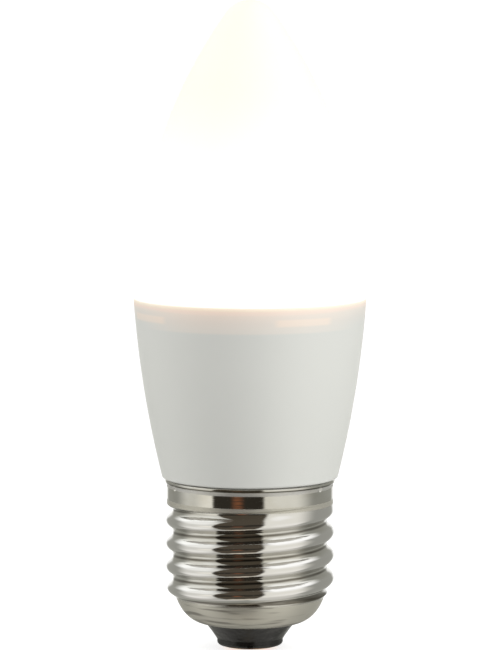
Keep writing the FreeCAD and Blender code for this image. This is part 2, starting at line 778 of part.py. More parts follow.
def make_driver_board():
    """Upright circuit board whose edges slide between the guide ribs of the housing's stem."""
    board = block(
        "driver_board", "2 * %s" % DRIVER_SIDE, "size.driver_thickness", "size.driver_length",
        ("-%s" % DRIVER_SIDE, "-size.driver_thickness / 2", DRIVER_FOOT))
    return keep(board, "driver_board")


def make_resistor():
    """Fusible resistor, standing: a round ceramic body between two slightly wider end caps."""
    body = new_body("fusible_resistor")
    radius, length, cap = "size.resistor_radius", "size.resistor_length", "size.resistor_cap_length"
    waist = "%s - size.resistor_waist" % radius
    turned(body, "capped_rod", [
        ("0", "0"), (radius, "0"), (radius, cap), (waist, cap),
        (waist, "%s - %s" % (length, cap)), (radius, "%s - %s" % (length, cap)),
        (radius, length), ("0", length),
    ])
    place(body, ("0", "-(%s + %s)" % (FRONT_FACE, radius),
                 "%s + size.resistor_place" % DRIVER_FOOT))
    return keep(body, "fusible_resistor")


def make_inductor():
    """Drum inductor: a ferrite core with two flanges, and the copper wound between them."""
    core_place = ("0", "%s + size.inductor_radius" % FRONT_FACE,
                  "%s + size.inductor_place" % DRIVER_FOOT)
    low, inner = "size.inductor_flange", "size.inductor_core_radius"
    high = "size.inductor_length - %s" % low
    core = new_body("inductor_core")
    turned(core, "drum_core", [
        ("0", "0"), ("size.inductor_radius", "0"), ("size.inductor_radius", low), (inner, low),
        (inner, high), ("size.inductor_radius", high),
        ("size.inductor_radius", "size.inductor_length"), ("0", "size.inductor_length"),
    ])
    place(core, core_place)
    keep(core, "inductor_core")
    winding = new_body("inductor_winding")
    turned(winding, "copper_winding", [
        (inner, low), ("size.inductor_winding_radius", low),
        ("size.inductor_winding_radius", high), (inner, high),
    ])
    place(winding, core_place)
    keep(winding, "inductor_winding")


def make_driver_parts():
    """Capacitors and resistor on the board's front, inductor and chips on its back."""
    make_can("input_capacitor")
    make_can("output_capacitor")
    make_resistor()
    make_inductor()
    for name in ("rectifier", "driver_chip"):
        own = "size." + name
        keep(block(name, own + "_width", own + "_thickness", own + "_length",
                   ("-%s_width / 2" % own, FRONT_FACE, "%s + %s_place" % (DRIVER_FOOT, own))),
             name)


def lead(label, stops, radius_rule, bend_rule):
    """Round lead along straight runs joined by tangent arcs."""
    bend = amount(bend_rule)
    points = [FreeCAD.Vector(*[amount(rule) for rule in stop]) for stop in stops]
    edges = []
    begin = points[0]
    for before, corner, after in zip(points, points[1:], points[2:]):
        come = (corner - before).normalize()
        leave = (after - corner).normalize()
        half_turn = come.getAngle(leave) / 2
        back = bend * math.tan(half_turn)
        first, last = corner - come * back, corner + leave * back
        inward = (leave - come).normalize()
        middle = corner + inward * (bend / math.cos(half_turn) - bend)
        if (first - begin).Length > 0.001:
            edges.append(Part.LineSegment(begin, first).toShape())
        edges.append(Part.Arc(first, middle, last).toShape())
        begin = last
    edges.append(Part.LineSegment(begin, points[-1]).toShape())
    path = Part.Wire(edges)
    start_way = (points[1] - points[0]).normalize()
    section = Part.Wire(Part.makeCircle(amount(radius_rule), points[0], start_way))
    piece = doc.addObject("Part::Feature", label + "_sweep")
    piece.Shape = path.makePipeShell([section], True, False)
    print(label, "length", round(path.Length, 2), "volume", round(piece.Shape.Volume, 3),
          "expected", round(path.Length * math.pi * amount(radius_rule) ** 2, 3))
    return keep(piece, label)


def make_leads():
    """Live lead on the pin, neutral lead in the thread, and the light board's two leads."""
    live_y = "-(%s + size.resistor_radius)" % FRONT_FACE
    step_height = "%s + size.live_lead_step" % PIN_TOP
    lead("live_lead", [
        ("0", "0", PIN_TOP), ("0", "0", step_height), ("0", live_y, step_height),
        ("0", live_y, "%s + size.resistor_place" % DRIVER_FOOT),
    ], "size.lead_radius", "size.lead_bend")
    side_x = "%s - size.neutral_lead_inset" % DRIVER_SIDE
    side_y = "-(%s + size.lead_radius)" % FRONT_FACE
    crest_height = "%s + size.thread_pitch * (1.5 - size.thread_turn / 360)" % THREAD_START
    lead("neutral_lead", [
        (side_x, side_y, crest_height + " + size.neutral_lead_drop"),
        (side_x, side_y, crest_height),
        ("size.thread_crest_radius - size.shell_wall - size.neutral_lead_gap", side_y,
         crest_height),
    ], "size.lead_radius", "size.lead_bend")
    back_y = "%s + size.board_lead_radius" % FRONT_FACE
    lie_height = "%s + size.board_lead_radius + size.driver_solder_gap" % BOARD_TOP
    start_height = "%s - size.board_lead_overlap" % DRIVER_TOP
    for label, sign in (("positive_lead", ""), ("negative_lead", "-")):
        lead(label, [
            (sign + "size.board_lead_spread", back_y, start_height),
            (sign + "size.board_lead_spread", back_y, lie_height),
            (sign + "size.board_lead_reach", back_y, lie_height),
        ], "size.board_lead_radius", "size.board_lead_bend")


make_diffuser()
make_housing()
make_heat_sink_cup()
make_light_board()
make_light_chips()
make_screw_shell()
make_insulator()
make_contact_plate()
make_contact_pin()
make_driver_board()
make_driver_parts()
make_leads()
doc.recompute()

for item in doc.Objects:
    if "Invalid" in item.State or "Error" in item.State:
        raise ValueError("%s didn't build: %s" % (item.Name, item.State))
for piece in sub_parts:
    if piece.Shape.isNull() or not piece.Shape.isValid():
        raise ValueError("%s has no sound shape" % piece.Label)

os.makedirs("parts", exist_ok=True)
for piece in sub_parts:
    piece.Shape.exportStep("parts/%s.step" % piece.Label)
    box = piece.Shape.BoundBox
    print("%-18s %9.2f mm3  z %7.2f to %7.2f  r %6.2f  solids %d" % (
        piece.Label, piece.Shape.Volume, box.ZMin, box.ZMax, box.XMax, len(piece.Shape.Solids)))
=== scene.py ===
import math

import bmesh
import bpy
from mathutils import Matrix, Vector


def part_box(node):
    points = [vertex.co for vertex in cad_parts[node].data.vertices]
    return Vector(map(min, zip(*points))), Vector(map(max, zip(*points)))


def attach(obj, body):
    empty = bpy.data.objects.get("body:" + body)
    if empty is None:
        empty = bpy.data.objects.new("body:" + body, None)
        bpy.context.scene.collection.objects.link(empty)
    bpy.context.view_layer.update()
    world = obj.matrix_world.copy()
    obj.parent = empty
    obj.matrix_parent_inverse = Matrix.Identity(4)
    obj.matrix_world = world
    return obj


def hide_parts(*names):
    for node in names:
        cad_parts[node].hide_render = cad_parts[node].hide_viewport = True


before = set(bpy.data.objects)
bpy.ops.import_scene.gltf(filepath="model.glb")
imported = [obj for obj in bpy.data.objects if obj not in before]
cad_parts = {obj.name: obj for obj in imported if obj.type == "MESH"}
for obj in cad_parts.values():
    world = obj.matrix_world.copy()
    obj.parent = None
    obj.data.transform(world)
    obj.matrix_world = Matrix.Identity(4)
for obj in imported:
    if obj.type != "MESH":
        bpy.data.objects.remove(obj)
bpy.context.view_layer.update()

# The driver board is a narrow glass-fibre strip that slides into the housing's stem. Its parts
# are soldered on both faces: two capacitors in shrunk sleeves and a fusible resistor in front,
# and a drum inductor, a rectifier and a driver chip behind.
MM = 0.001
BOARD_GREEN = (24, 84, 52)
BOARD_DARK = (14, 58, 38)
TRACK_STEP = 2.1 * MM
TRACK_WIDTH = 0.7 * MM
TRACK_SWAY = 3 * MM
TRACK_RISE = 4
WEAVE_STEP = 1.2 * MM
SLEEVE_BLACK = (26, 27, 31)
SLEEVE_STRIPE = (168, 172, 178)
STRIPE_WIDTH = 1.2 * MM
RESISTOR_BLUE = (72, 118, 138)
RESISTOR_BANDS = ((62, 40, 26), (24, 24, 26), (176, 120, 40))
BAND_WIDTH = 0.7 * MM
FIRST_BAND = 1.6 * MM
BAND_STEP = 1.5 * MM
FERRITE_GREY = (52, 51, 52)
FERRITE_DARK = (40, 39, 40)
FERRITE_PALE = (70, 69, 69)
COPPER_ORANGE = (190, 104, 62)
COPPER_SHADE = (120, 58, 32)
WIRE_STEP = 0.24 * MM
CHIP_BLACK = (28, 28, 29)
CLOUD_LOW = 0.3
CLOUD_HIGH = 0.7


def tone(red, green, blue):
    """A colour written as it looks on a screen, from 0 to 255, as the linear one of a shader."""
    linear = []
    for channel in (red, green, blue):
        share = channel / 255
        linear.append(share / 12.92 if share <= 0.04045 else ((share + 0.055) / 1.055) ** 2.4)
    return (*linear, 1)


class Reading:
    """A number in a node tree. Sums written with it become Math nodes of that tree."""

    def __init__(self, tree, socket):
        self.tree = tree
        self.socket = socket

    def worked(self, operation, *others):
        """The outcome of a Math operation on this number and others."""
        node = self.tree.nodes.new("ShaderNodeMath")
        node.operation = operation
        for place, value in zip(node.inputs, (self, *others)):
            if isinstance(value, Reading):
                self.tree.links.new(value.socket, place)
            else:
                place.default_value = value
        return Reading(self.tree, node.outputs["Value"])

    def __add__(self, other):
        return self.worked("ADD", other)

    def __rsub__(self, other):
        return self * -1 + other

    def __sub__(self, other):
        return self.worked("SUBTRACT", other)

    def __mul__(self, other):
        return self.worked("MULTIPLY", other)

    def __truediv__(self, other):
        return self.worked("DIVIDE", other)

    def eased(self, low, high):
        """Nought below one value, one above the other, and smooth between them."""
        node = self.tree.nodes.new("ShaderNodeMapRange")
        node.interpolation_type = "SMOOTHSTEP"
        self.tree.links.new(self.socket, node.inputs["Value"])
        for name, edge in (("From Min", low), ("From Max", high)):
            if isinstance(edge, Reading):
                self.tree.links.new(edge.socket, node.inputs[name])
            else:
                node.inputs[name].default_value = edge
        return Reading(self.tree, node.outputs["Result"])


def new_finish(name, colour, roughness, **even_values):
    """A material, its node tree and its shader, with what is even all over set on the shader."""
    finish = bpy.data.materials.new(name)
    finish.use_nodes = True
    surface = finish.node_tree.nodes["Principled BSDF"]
    surface.inputs["Base Color"].default_value = tone(*colour)
    surface.inputs["Roughness"].default_value = roughness
    for socket, value in even_values.items():
        surface.inputs[socket.replace("_", " ")].default_value = value
    return finish, finish.node_tree, surface


def own_place(tree):
    """The x, y and z of a point of the piece, in metres."""
    place = tree.nodes.new("ShaderNodeTexCoord")
    split = tree.nodes.new("ShaderNodeSeparateXYZ")
    tree.links.new(place.outputs["Object"], split.inputs[0])
    return [Reading(tree, socket) for socket in split.outputs]


def cloudy(tree, grain_size, stretch=(1, 1, 1), detail=3):
    """An uneven pattern, mostly from CLOUD_LOW to CLOUD_HIGH, with grains of that size."""
    place = tree.nodes.new("ShaderNodeTexCoord")
    scaled = tree.nodes.new("ShaderNodeMapping")
    scaled.inputs["Scale"].default_value = [1 / (grain_size * along) for along in stretch]
    noise = tree.nodes.new("ShaderNodeTexNoise")
    noise.inputs["Scale"].default_value = 1
    noise.inputs["Detail"].default_value = detail
    tree.links.new(place.outputs["Object"], scaled.inputs["Vector"])
    tree.links.new(scaled.outputs["Vector"], noise.inputs["Vector"])
    return Reading(tree, noise.outputs["Fac"])


def two_tone(tree, share, first, second):
    """The socket of a colour that goes from the first to the second with a share."""
    mix = tree.nodes.new("ShaderNodeMix")
    mix.data_type = "RGBA"
    tree.links.new(share.socket, mix.inputs["Factor"])
    for socket, colour in ((mix.inputs[6], first), (mix.inputs[7], second)):
        if isinstance(colour, bpy.types.NodeSocket):
            tree.links.new(colour, socket)
        else:
            socket.default_value = tone(*colour)
    return mix.outputs[2]


def paint(tree, surface, share, first, second):
    """Colours the surface from the first colour to the second with a share."""
    tree.links.new(two_tone(tree, share, first, second), surface.inputs["Base Color"])


def emboss(tree, surface, pattern, depth, strength=1.0):
    """Raises the surface by the pattern, to that depth in metres."""
    bump = tree.nodes.new("ShaderNodeBump")
    bump.inputs["Distance"].default_value = depth
    bump.inputs["Strength"].default_value = strength
    tree.links.new(pattern.socket, bump.inputs["Height"])
    tree.links.new(bump.outputs["Normal"], surface.inputs["Normal"])


def set_roughness(tree, surface, cloud, smooth, rough, more=0):
    """Roughness that goes with a cloudy pattern from smooth to rough, with more in places."""
    roughness = cloud.eased(CLOUD_LOW, CLOUD_HIGH) * (rough - smooth) + smooth + more
    tree.links.new(roughness.socket, surface.inputs["Roughness"])


def dress(node, finish):
    """Gives a piece of the frame, which stays in view as it is, its finish."""
    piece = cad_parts[node]
    if not piece.material_slots:
        piece.data.materials.append(finish)
    piece.material_slots[0].material = finish


def striped(distance, width):
    """One within half a width of a place, and nought further off."""
    return distance.worked("ABSOLUTE").worked("LESS_THAN", width / 2)


def waves(distance, step):
    """A sine that repeats over that step."""
    return (distance * (2 * math.pi / step)).worked("SINE")


board_finish, tree, surface = new_finish("green_circuit_board", BOARD_GREEN, 0.42)
x, y, z = own_place(tree)
swayed = x + cloudy(tree, 6 * MM) * TRACK_SWAY
tracks = striped(swayed.worked("PINGPONG", TRACK_STEP), TRACK_WIDTH)
weave = waves(x, WEAVE_STEP) * waves(z, WEAVE_STEP)
paint(tree, surface, tracks, BOARD_GREEN, BOARD_DARK)
emboss(tree, surface, weave + tracks * TRACK_RISE, 0.01 * MM, 0.5)
dress("driver_board", board_finish)

sleeve_finish, tree, surface = new_finish("capacitor_sleeve", SLEEVE_BLACK, 0.33)
x, y, z = own_place(tree)
paint(tree, surface, striped(x, STRIPE_WIDTH), SLEEVE_BLACK, SLEEVE_STRIPE)
emboss(tree, surface, cloudy(tree, 1.5 * MM), 0.03 * MM)
dress("input_capacitor", sleeve_finish)
dress("output_capacitor", sleeve_finish)

resistor_finish, tree, surface = new_finish("resistor_lacquer", RESISTOR_BLUE, 0.38)
x, y, z = own_place(tree)
resistor_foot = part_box("fusible_resistor")[0].z
coat = RESISTOR_BLUE
for number, band in enumerate(RESISTOR_BANDS):
    middle = resistor_foot + FIRST_BAND + BAND_STEP * number
    coat = two_tone(tree, striped(z - middle, BAND_WIDTH), coat, band)
tree.links.new(coat, surface.inputs["Base Color"])
emboss(tree, surface, cloudy(tree, 0.8 * MM), 0.03 * MM)
dress("fusible_resistor", resistor_finish)

ferrite_finish, tree, surface = new_finish("pressed_ferrite", FERRITE_GREY, 0.62)
speckle = cloudy(tree, 0.3 * MM)
paint(tree, surface, speckle, FERRITE_DARK, FERRITE_PALE)
emboss(tree, surface, speckle, 0.03 * MM)
dress("inductor_core", ferrite_finish)

copper_finish, tree, surface = new_finish("enamelled_copper", COPPER_ORANGE, 0.3, Metallic=1.0)
x, y, z = own_place(tree)
wires = waves(z, WIRE_STEP)
# Painted shade darkens the grooves between the wire's turns.
paint(tree, surface, wires.eased(-1, 1), COPPER_SHADE, COPPER_ORANGE)
emboss(tree, surface, wires, 0.06 * MM)
dress("inductor_winding", copper_finish)

chip_finish, tree, surface = new_finish("moulded_chip", CHIP_BLACK, 0.55)
emboss(tree, surface, cloudy(tree, 0.12 * MM), 0.01 * MM)
set_roughness(tree, surface, cloudy(tree, 1.5 * MM), 0.48, 0.62)
dress("rectifier", chip_finish)
dress("driver_chip", chip_finish)

# The leads: two of bare tinned wire, one from the fusible resistor to the contact pin and one
# trapped in the cap's thread, and two in plastic sleeves that rise through the light board's
# hole and are soldered to it.
TINNED_GREY = (186, 188, 190)
SLEEVE_RED = (168, 34, 30)
SLEEVE_DARK = (30, 30, 32)

tinned_finish, tree, surface = new_finish("tinned_wire", TINNED_GREY, 0.3, Metallic=1.0)
set_roughness(tree, surface, cloudy(tree, 0.6 * MM), 0.22, 0.4)
emboss(tree, surface, cloudy(tree, 0.4 * MM), 0.01 * MM)
dress("live_lead", tinned_finish)
dress("neutral_lead", tinned_finish)
for node, colour in (("positive_lead", SLEEVE_RED), ("negative_lead", SLEEVE_DARK)):
    sleeve, tree, surface = new_finish(node + "_sleeve", colour, 0.42)
    emboss(tree, surface, cloudy(tree, 0.7 * MM), 0.02 * MM)
    set_roughness(tree, surface, cloudy(tree, 2 * MM), 0.36, 0.5)
    dress(node, sleeve)

# The heat sink is an aluminium cup pressed upside down into the housing. The round light board,
# aluminium with a white lacquer, lies on its flat top and carries a ring of light chips, each
# a white frame filled with yellow phosphor that glows.
ALUMINIUM = (196, 198, 200)
LACQUER_WHITE = (236, 236, 230)
LACQUER_GREY = (228, 228, 222)
FRAME_WHITE = (240, 238, 230)
PHOSPHOR_YELLOW = (244, 206, 92)
PHOSPHOR_LIGHT = (255, 226, 168)
CHIP_GLOW = 1.6
CHIP_COUNT = 8
CHIP_CIRCLE = 10.5 * MM
COPPER_RING = 4.4 * MM
PHOSPHOR_LENGTH = 2.875 * MM
PHOSPHOR_WIDTH = 2.3 * MM
SPECKLE_RISE = 0.1
PHOSPHOR_GRAIN = 0.2


def off_axis(x, y):
    """Distance from the upright axis."""
    return (x * x + y * y).worked("SQRT")


def nearest_turn(angle, first, count):
    """Angle from the nearest of so many places evenly round, one of which is at the first."""
    half_step = math.pi / count
    return (angle - first).worked("WRAP", half_step, -half_step)


cup_finish, tree, surface = new_finish("pressed_aluminium", ALUMINIUM, 0.35, Metallic=1.0)
drawn_lines = cloudy(tree, 0.25 * MM, stretch=(1, 1, 40))
set_roughness(tree, surface, drawn_lines, 0.26, 0.46)
emboss(tree, surface, drawn_lines, 0.01 * MM)
dress("heat_sink_cup", cup_finish)

lacquer_finish, tree, surface = new_finish("board_lacquer", LACQUER_WHITE, 0.45)
x, y, z = own_place(tree)
copper_ring = striped(off_axis(x, y) - CHIP_CIRCLE, COPPER_RING)
paint(tree, surface, copper_ring, LACQUER_GREY, LACQUER_WHITE)
emboss(tree, surface, copper_ring + cloudy(tree, 1 * MM) * SPECKLE_RISE, 0.035 * MM)
dress("led_board", lacquer_finish)

phosphor_finish, tree, surface = new_finish("glowing_phosphor", FRAME_WHITE, 0.5)
x, y, z = own_place(tree)
along = nearest_turn(y.worked("ARCTAN2", x), 0, CHIP_COUNT) * CHIP_CIRCLE
across = off_axis(x, y) - CHIP_CIRCLE
window = striped(along, PHOSPHOR_LENGTH) * striped(across, PHOSPHOR_WIDTH)
paint(tree, surface, window, FRAME_WHITE, PHOSPHOR_YELLOW)
surface.inputs["Emission Color"].default_value = tone(*PHOSPHOR_LIGHT)
tree.links.new((window * CHIP_GLOW).socket, surface.inputs["Emission Strength"])
emboss(tree, surface, cloudy(tree, 0.2 * MM) * PHOSPHOR_GRAIN - window, 0.05 * MM)
for number in range(CHIP_COUNT):
    dress("led_chip_%d" % (number + 1), phosphor_finish)

# The housing is moulded in white plastic and slightly bowed. A step in its rim takes the
# diffuser's neck, four recesses inside the rim take its snap lugs, and a spigot and a stem
# below fill the screw cap. Light from inside shows warm through the thin rim.
housing_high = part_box("housing")[1]
SEAM_HEIGHT = housing_high.z
HOUSING_TOP = housing_high.x
HOUSING_FOOT = 13.8 * MM
FOOT_HEIGHT = 26.95 * MM
FOOT_ROUND = 0.45 * MM
HOUSING_SIDE_ARC = 160 * MM
HOUSING_WALL = 1.5 * MM
RIM_BORE = 16.82 * MM
LEDGE_HEIGHT = 51.55 * MM
CUP_SEAT = 16.32 * MM
INNER_FOOT = HOUSING_FOOT - HOUSING_WALL
FLOOR_HEIGHT = 28.55 * MM
BORE = 10.1 * MM
STEM_RADIUS = 11.6 * MM
STEM_FOOT = 12 * MM
SPIGOT_RADIUS = 12.57 * MM
SPIGOT_FOOT = 24.05 * MM
STAKE_HEIGHT = 25.95 * MM
GROOVE_WIDTH = 1.6 * MM
GROOVE_DEPTH = 0.35 * MM
LUG_MIDDLE = SEAM_HEIGHT - 1.5 * MM
LUG_HALF = 0.4 * MM
LUG_DEPTH = 0.55 * MM
LUG_TURN = math.radians(28)
LUG_SPAN = math.radians(30)
LUG_COUNT = 4
RECESS_SPAN = LUG_SPAN + math.radians(4)
SLIP_FIT = 0.1 * MM
EDGE_ROUND = 0.12 * MM
LUG_STEPS = 16
GAP_STEPS = 32
HOUSING_STEPS = 40
INNER_STEPS = 12
ROUND_STEPS = 6
SAME_PLACE = 1e-7
SHARP_TURN = math.radians(35)
PLASTIC_WHITE = (229, 230, 224)


def arc_stretch(start, end, radius, bulge, steps):
    """Points after the start, up to the end, on a short arc that bulges right, or left for -1."""
    start, end = Vector(start), Vector(end)
    chord = end - start
    side = Vector((chord.y, -chord.x)).normalized() * bulge
    centre = (start + end) / 2 - side * math.sqrt(radius ** 2 - (chord.length / 2) ** 2)
    first, last = (math.atan2(*(point - centre).yx) for point in (start, end))
    sweep = (last - first + math.pi) % (2 * math.pi) - math.pi
    return [tuple(centre + radius * Vector((math.cos(first + sweep * step / steps),
                                            math.sin(first + sweep * step / steps))))
            for step in range(1, steps + 1)]


def eased_corner(before, corner, after, size, steps=4):
    """The corner of an outline, rounded off over that size."""
    corner = Vector(corner)
    start = corner + (Vector(before) - corner).normalized() * size
    end = corner + (Vector(after) - corner).normalized() * size
    points = []
    for step in range(steps + 1):
        share = step / steps
        points.append(tuple(start * (1 - share) ** 2 + corner * 2 * share * (1 - share)
                            + end * share ** 2))
    return points


def lug_columns(span):
    """Angles round the axis, each with whether it crosses a lug; a lug's sides come twice."""
    columns = []
    gap = 2 * math.pi / LUG_COUNT - span
    for number in range(LUG_COUNT):
        middle = LUG_TURN + 2 * math.pi * number / LUG_COUNT
        for step in range(LUG_STEPS + 1):
            columns.append((middle + span * (step / LUG_STEPS - 0.5), True))
        for step in range(GAP_STEPS + 1):
            columns.append((middle + span / 2 + gap * step / GAP_STEPS, False))
    return columns


def turned_piece(name, columns, outline_at, finish):
    """A closed outline of (radius, height) turned about the axis, one outline a column."""
    mesh = bpy.data.meshes.new(name)
    build = bmesh.new()
    rings = []
    for angle, crosses in columns:
        rings.append([build.verts.new((radius * math.cos(angle), radius * math.sin(angle), height))
                      for radius, height in outline_at(crosses)])
    for ring, following in zip(rings, rings[1:] + rings[:1]):
        for number in range(len(ring)):
            corners = (ring[number - 1], following[number - 1], following[number], ring[number])
            build.faces.new(corners)
    bmesh.ops.remove_doubles(build, verts=build.verts, dist=SAME_PLACE)
    bmesh.ops.dissolve_degenerate(build, edges=build.edges, dist=SAME_PLACE)
    bmesh.ops.recalc_face_normals(build, faces=build.faces)
    build.to_mesh(mesh)
    build.free()
    mesh.shade_smooth()
    mesh.set_sharp_from_angle(angle=SHARP_TURN)
    mesh.materials.append(finish)
    piece = bpy.data.objects.new(name, mesh)
    bpy.context.scene.collection.objects.link(piece)
    return piece


def housing_outline(crosses):
    """The housing's section, which has a recess in its rim where the column crosses a lug."""
    recess = RIM_BORE + LUG_DEPTH if crosses else RIM_BORE
    recess_low = LUG_MIDDLE - LUG_HALF - SLIP_FIT
    recess_high = LUG_MIDDLE + LUG_HALF + SLIP_FIT
    seat = (CUP_SEAT, LEDGE_HEIGHT)
    foot = (HOUSING_FOOT, FOOT_HEIGHT + FOOT_ROUND)
    under_foot = (HOUSING_FOOT - FOOT_ROUND, FOOT_HEIGHT)
    top = (HOUSING_TOP, SEAM_HEIGHT)
    side = arc_stretch(foot, top, HOUSING_SIDE_ARC, 1, HOUSING_STEPS)
    inner_foot = (INNER_FOOT, FLOOR_HEIGHT)
    rim = eased_corner(side[-2], top, (RIM_BORE, SEAM_HEIGHT), EDGE_ROUND)
    outline = [(RIM_BORE, SEAM_HEIGHT), (RIM_BORE, recess_high), (recess, recess_high),
               (recess, recess_low), (RIM_BORE, recess_low), (RIM_BORE, LEDGE_HEIGHT), seat]
    outline += arc_stretch(seat, inner_foot, HOUSING_SIDE_ARC - HOUSING_WALL, 1, INNER_STEPS)
    outline += [(BORE, FLOOR_HEIGHT), (BORE, STEM_FOOT), (STEM_RADIUS, STEM_FOOT),
                (STEM_RADIUS, SPIGOT_FOOT), (SPIGOT_RADIUS, SPIGOT_FOOT)]
    for share, depth in ((-0.5, 0), (-0.5, GROOVE_DEPTH), (0.5, GROOVE_DEPTH), (0.5, 0)):
        outline.append((SPIGOT_RADIUS - depth, STAKE_HEIGHT + share * GROOVE_WIDTH))
    outline += [(SPIGOT_RADIUS, FOOT_HEIGHT), under_foot]
    outline += arc_stretch(under_foot, foot, FOOT_ROUND, 1, ROUND_STEPS)
    return outline + side[:-1] + rim


# Light that comes through the plastic, by depth below the seam in millimetres.
GLOW_STEPS = (
    (0.0, (0.40, 0.35, 0.27)), (0.35, (0.30, 0.18, 0.085)), (0.7, (0.20, 0.088, 0.034)),
    (1.3, (0.10, 0.05, 0.024)), (2.4, (0.045, 0.02, 0.01)), (3.6, (0.016, 0.015, 0.014)),
    (10, (0.016, 0.015, 0.014)), (22, (0.0, 0.0, 0.0)),
)
GLOW_DEPTH = 25.0 * MM
# More shows through the thin wall round the neck, most at the front and the back.
RIM_GLOW = (0.075, 0.034, 0.013)
RIM_GLOW_FOOT = LEDGE_HEIGHT - 0.45 * MM
RIM_GLOW_BLEND = 0.25 * MM
SIDEWAYS_DARK = 0.35
FRONT_BRIGHT = 0.95
# Light that passes the lugs shows as four brighter patches, just below them.
PATCH_GLOW = (0.085, 0.035, 0.004)
PATCH_MIDDLE = SEAM_HEIGHT - 2.45 * MM
PATCH_HALF = 0.75 * MM
PATCH_CORE = 0.3 * MM
PATCH_SOFTNESS = math.radians(2.5)


def past(value, edge, softness):
    """Nought before an edge, one after it, and smooth over the softness either side."""
    return value.eased(edge - softness, edge + softness)


def added_light(tree, share, under, light):
    """The socket of a light with a share of another light added."""
    mix = tree.nodes.new("ShaderNodeMix")
    mix.data_type = "RGBA"
    mix.blend_type = "ADD"
    tree.links.new(share.socket, mix.inputs["Factor"])
    tree.links.new(under, mix.inputs[6])
    mix.inputs[7].default_value = (*light, 1)
    return mix.outputs[2]


white_plastic, tree, surface = new_finish(
    "white_housing_plastic", PLASTIC_WHITE, 0.42, IOR=1.46)
x, y, z = own_place(tree)
ramp = tree.nodes.new("ShaderNodeValToRGB")
while len(ramp.color_ramp.elements) < len(GLOW_STEPS):
    ramp.color_ramp.elements.new(1)
for element, (millimetres, light) in zip(ramp.color_ramp.elements, GLOW_STEPS):
    element.position = millimetres * MM / GLOW_DEPTH
    element.color = (*light, 1)
tree.links.new(((SEAM_HEIGHT - z) / GLOW_DEPTH).socket, ramp.inputs["Fac"])
to_front = (y.worked("ABSOLUTE") / off_axis(x, y)).eased(SIDEWAYS_DARK, FRONT_BRIGHT)
rim_share = past(z, RIM_GLOW_FOOT, RIM_GLOW_BLEND) * to_front
off_lug = nearest_turn(y.worked("ARCTAN2", x), LUG_TURN, LUG_COUNT).worked("ABSOLUTE")
off_patch = (z - PATCH_MIDDLE).worked("ABSOLUTE")
under_lug = 1 - past(off_lug, LUG_SPAN / 2, PATCH_SOFTNESS)
patch = under_lug * (1 - off_patch.eased(PATCH_CORE, PATCH_HALF))
glow = added_light(tree, rim_share, ramp.outputs["Color"], RIM_GLOW)
tree.links.new(added_light(tree, patch, glow, PATCH_GLOW), surface.inputs["Emission Color"])
surface.inputs["Emission Strength"].default_value = 1
emboss(tree, surface, cloudy(tree, 0.5 * MM), 0.004 * MM)
set_roughness(tree, surface, cloudy(tree, 4 * MM), 0.38, 0.48)
housing = turned_piece("housing_shell", lug_columns(RECESS_SPAN), housing_outline, white_plastic)
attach(housing, "root")
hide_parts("housing")

# The diffuser is one opal plastic moulding, a candle form with a rounded point. Its neck drops
# into the housing's rim and four lugs snap into the recesses. Lit from inside, it is brighter
# than anything round it, a little warmer near the point, where its wall is seen edge on.
diffuser_low, diffuser_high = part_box("diffuser")
DIFFUSER_RADIUS = 18.2 * MM
WIDEST_HEIGHT = 54.2 * MM
TIP_RADIUS = 4.55 * MM
DIFFUSER_WALL = 1.1 * MM
SHOULDER = 1.6 * MM
NECK_RADIUS = RIM_BORE - SLIP_FIT
NECK_WALL = 1.0 * MM
NECK_FOOT = diffuser_low.z
TIP_HEIGHT = diffuser_high.z
SIDE_STEPS = 72
INSIDE_STEPS = 48
TIP_STEPS = 14
INSIDE_TIP_STEPS = 10
OPAL_WHITE = (206, 206, 200)
SKIN_TINT = (252, 252, 222)
LIT_FULL = (241, 241, 236)
LIT_TIP = (239, 237, 197)
WARM_FROM = 66 * MM
WARM_FULL = 89 * MM
TIP_RISE = TIP_HEIGHT - TIP_RADIUS - WIDEST_HEIGHT
SIDE_ARC = ((TIP_RISE ** 2 + DIFFUSER_RADIUS ** 2 - TIP_RADIUS ** 2)
            / (2 * (DIFFUSER_RADIUS - TIP_RADIUS)))
ARC_OFFSET = SIDE_ARC - DIFFUSER_RADIUS
ARC_REACH = SIDE_ARC - TIP_RADIUS


def side_radius(height, inset):
    """Radius of the candle's side at a height, as far inside its skin as the inset."""
    return math.sqrt((SIDE_ARC - inset) ** 2 - (height - WIDEST_HEIGHT) ** 2) - ARC_OFFSET


def tip_joint(inset):
    """Where the side's arc meets the rounded point, at that inset."""
    return (ARC_OFFSET * (TIP_RADIUS - inset) / ARC_REACH,
            WIDEST_HEIGHT + TIP_RISE * (SIDE_ARC - inset) / ARC_REACH)


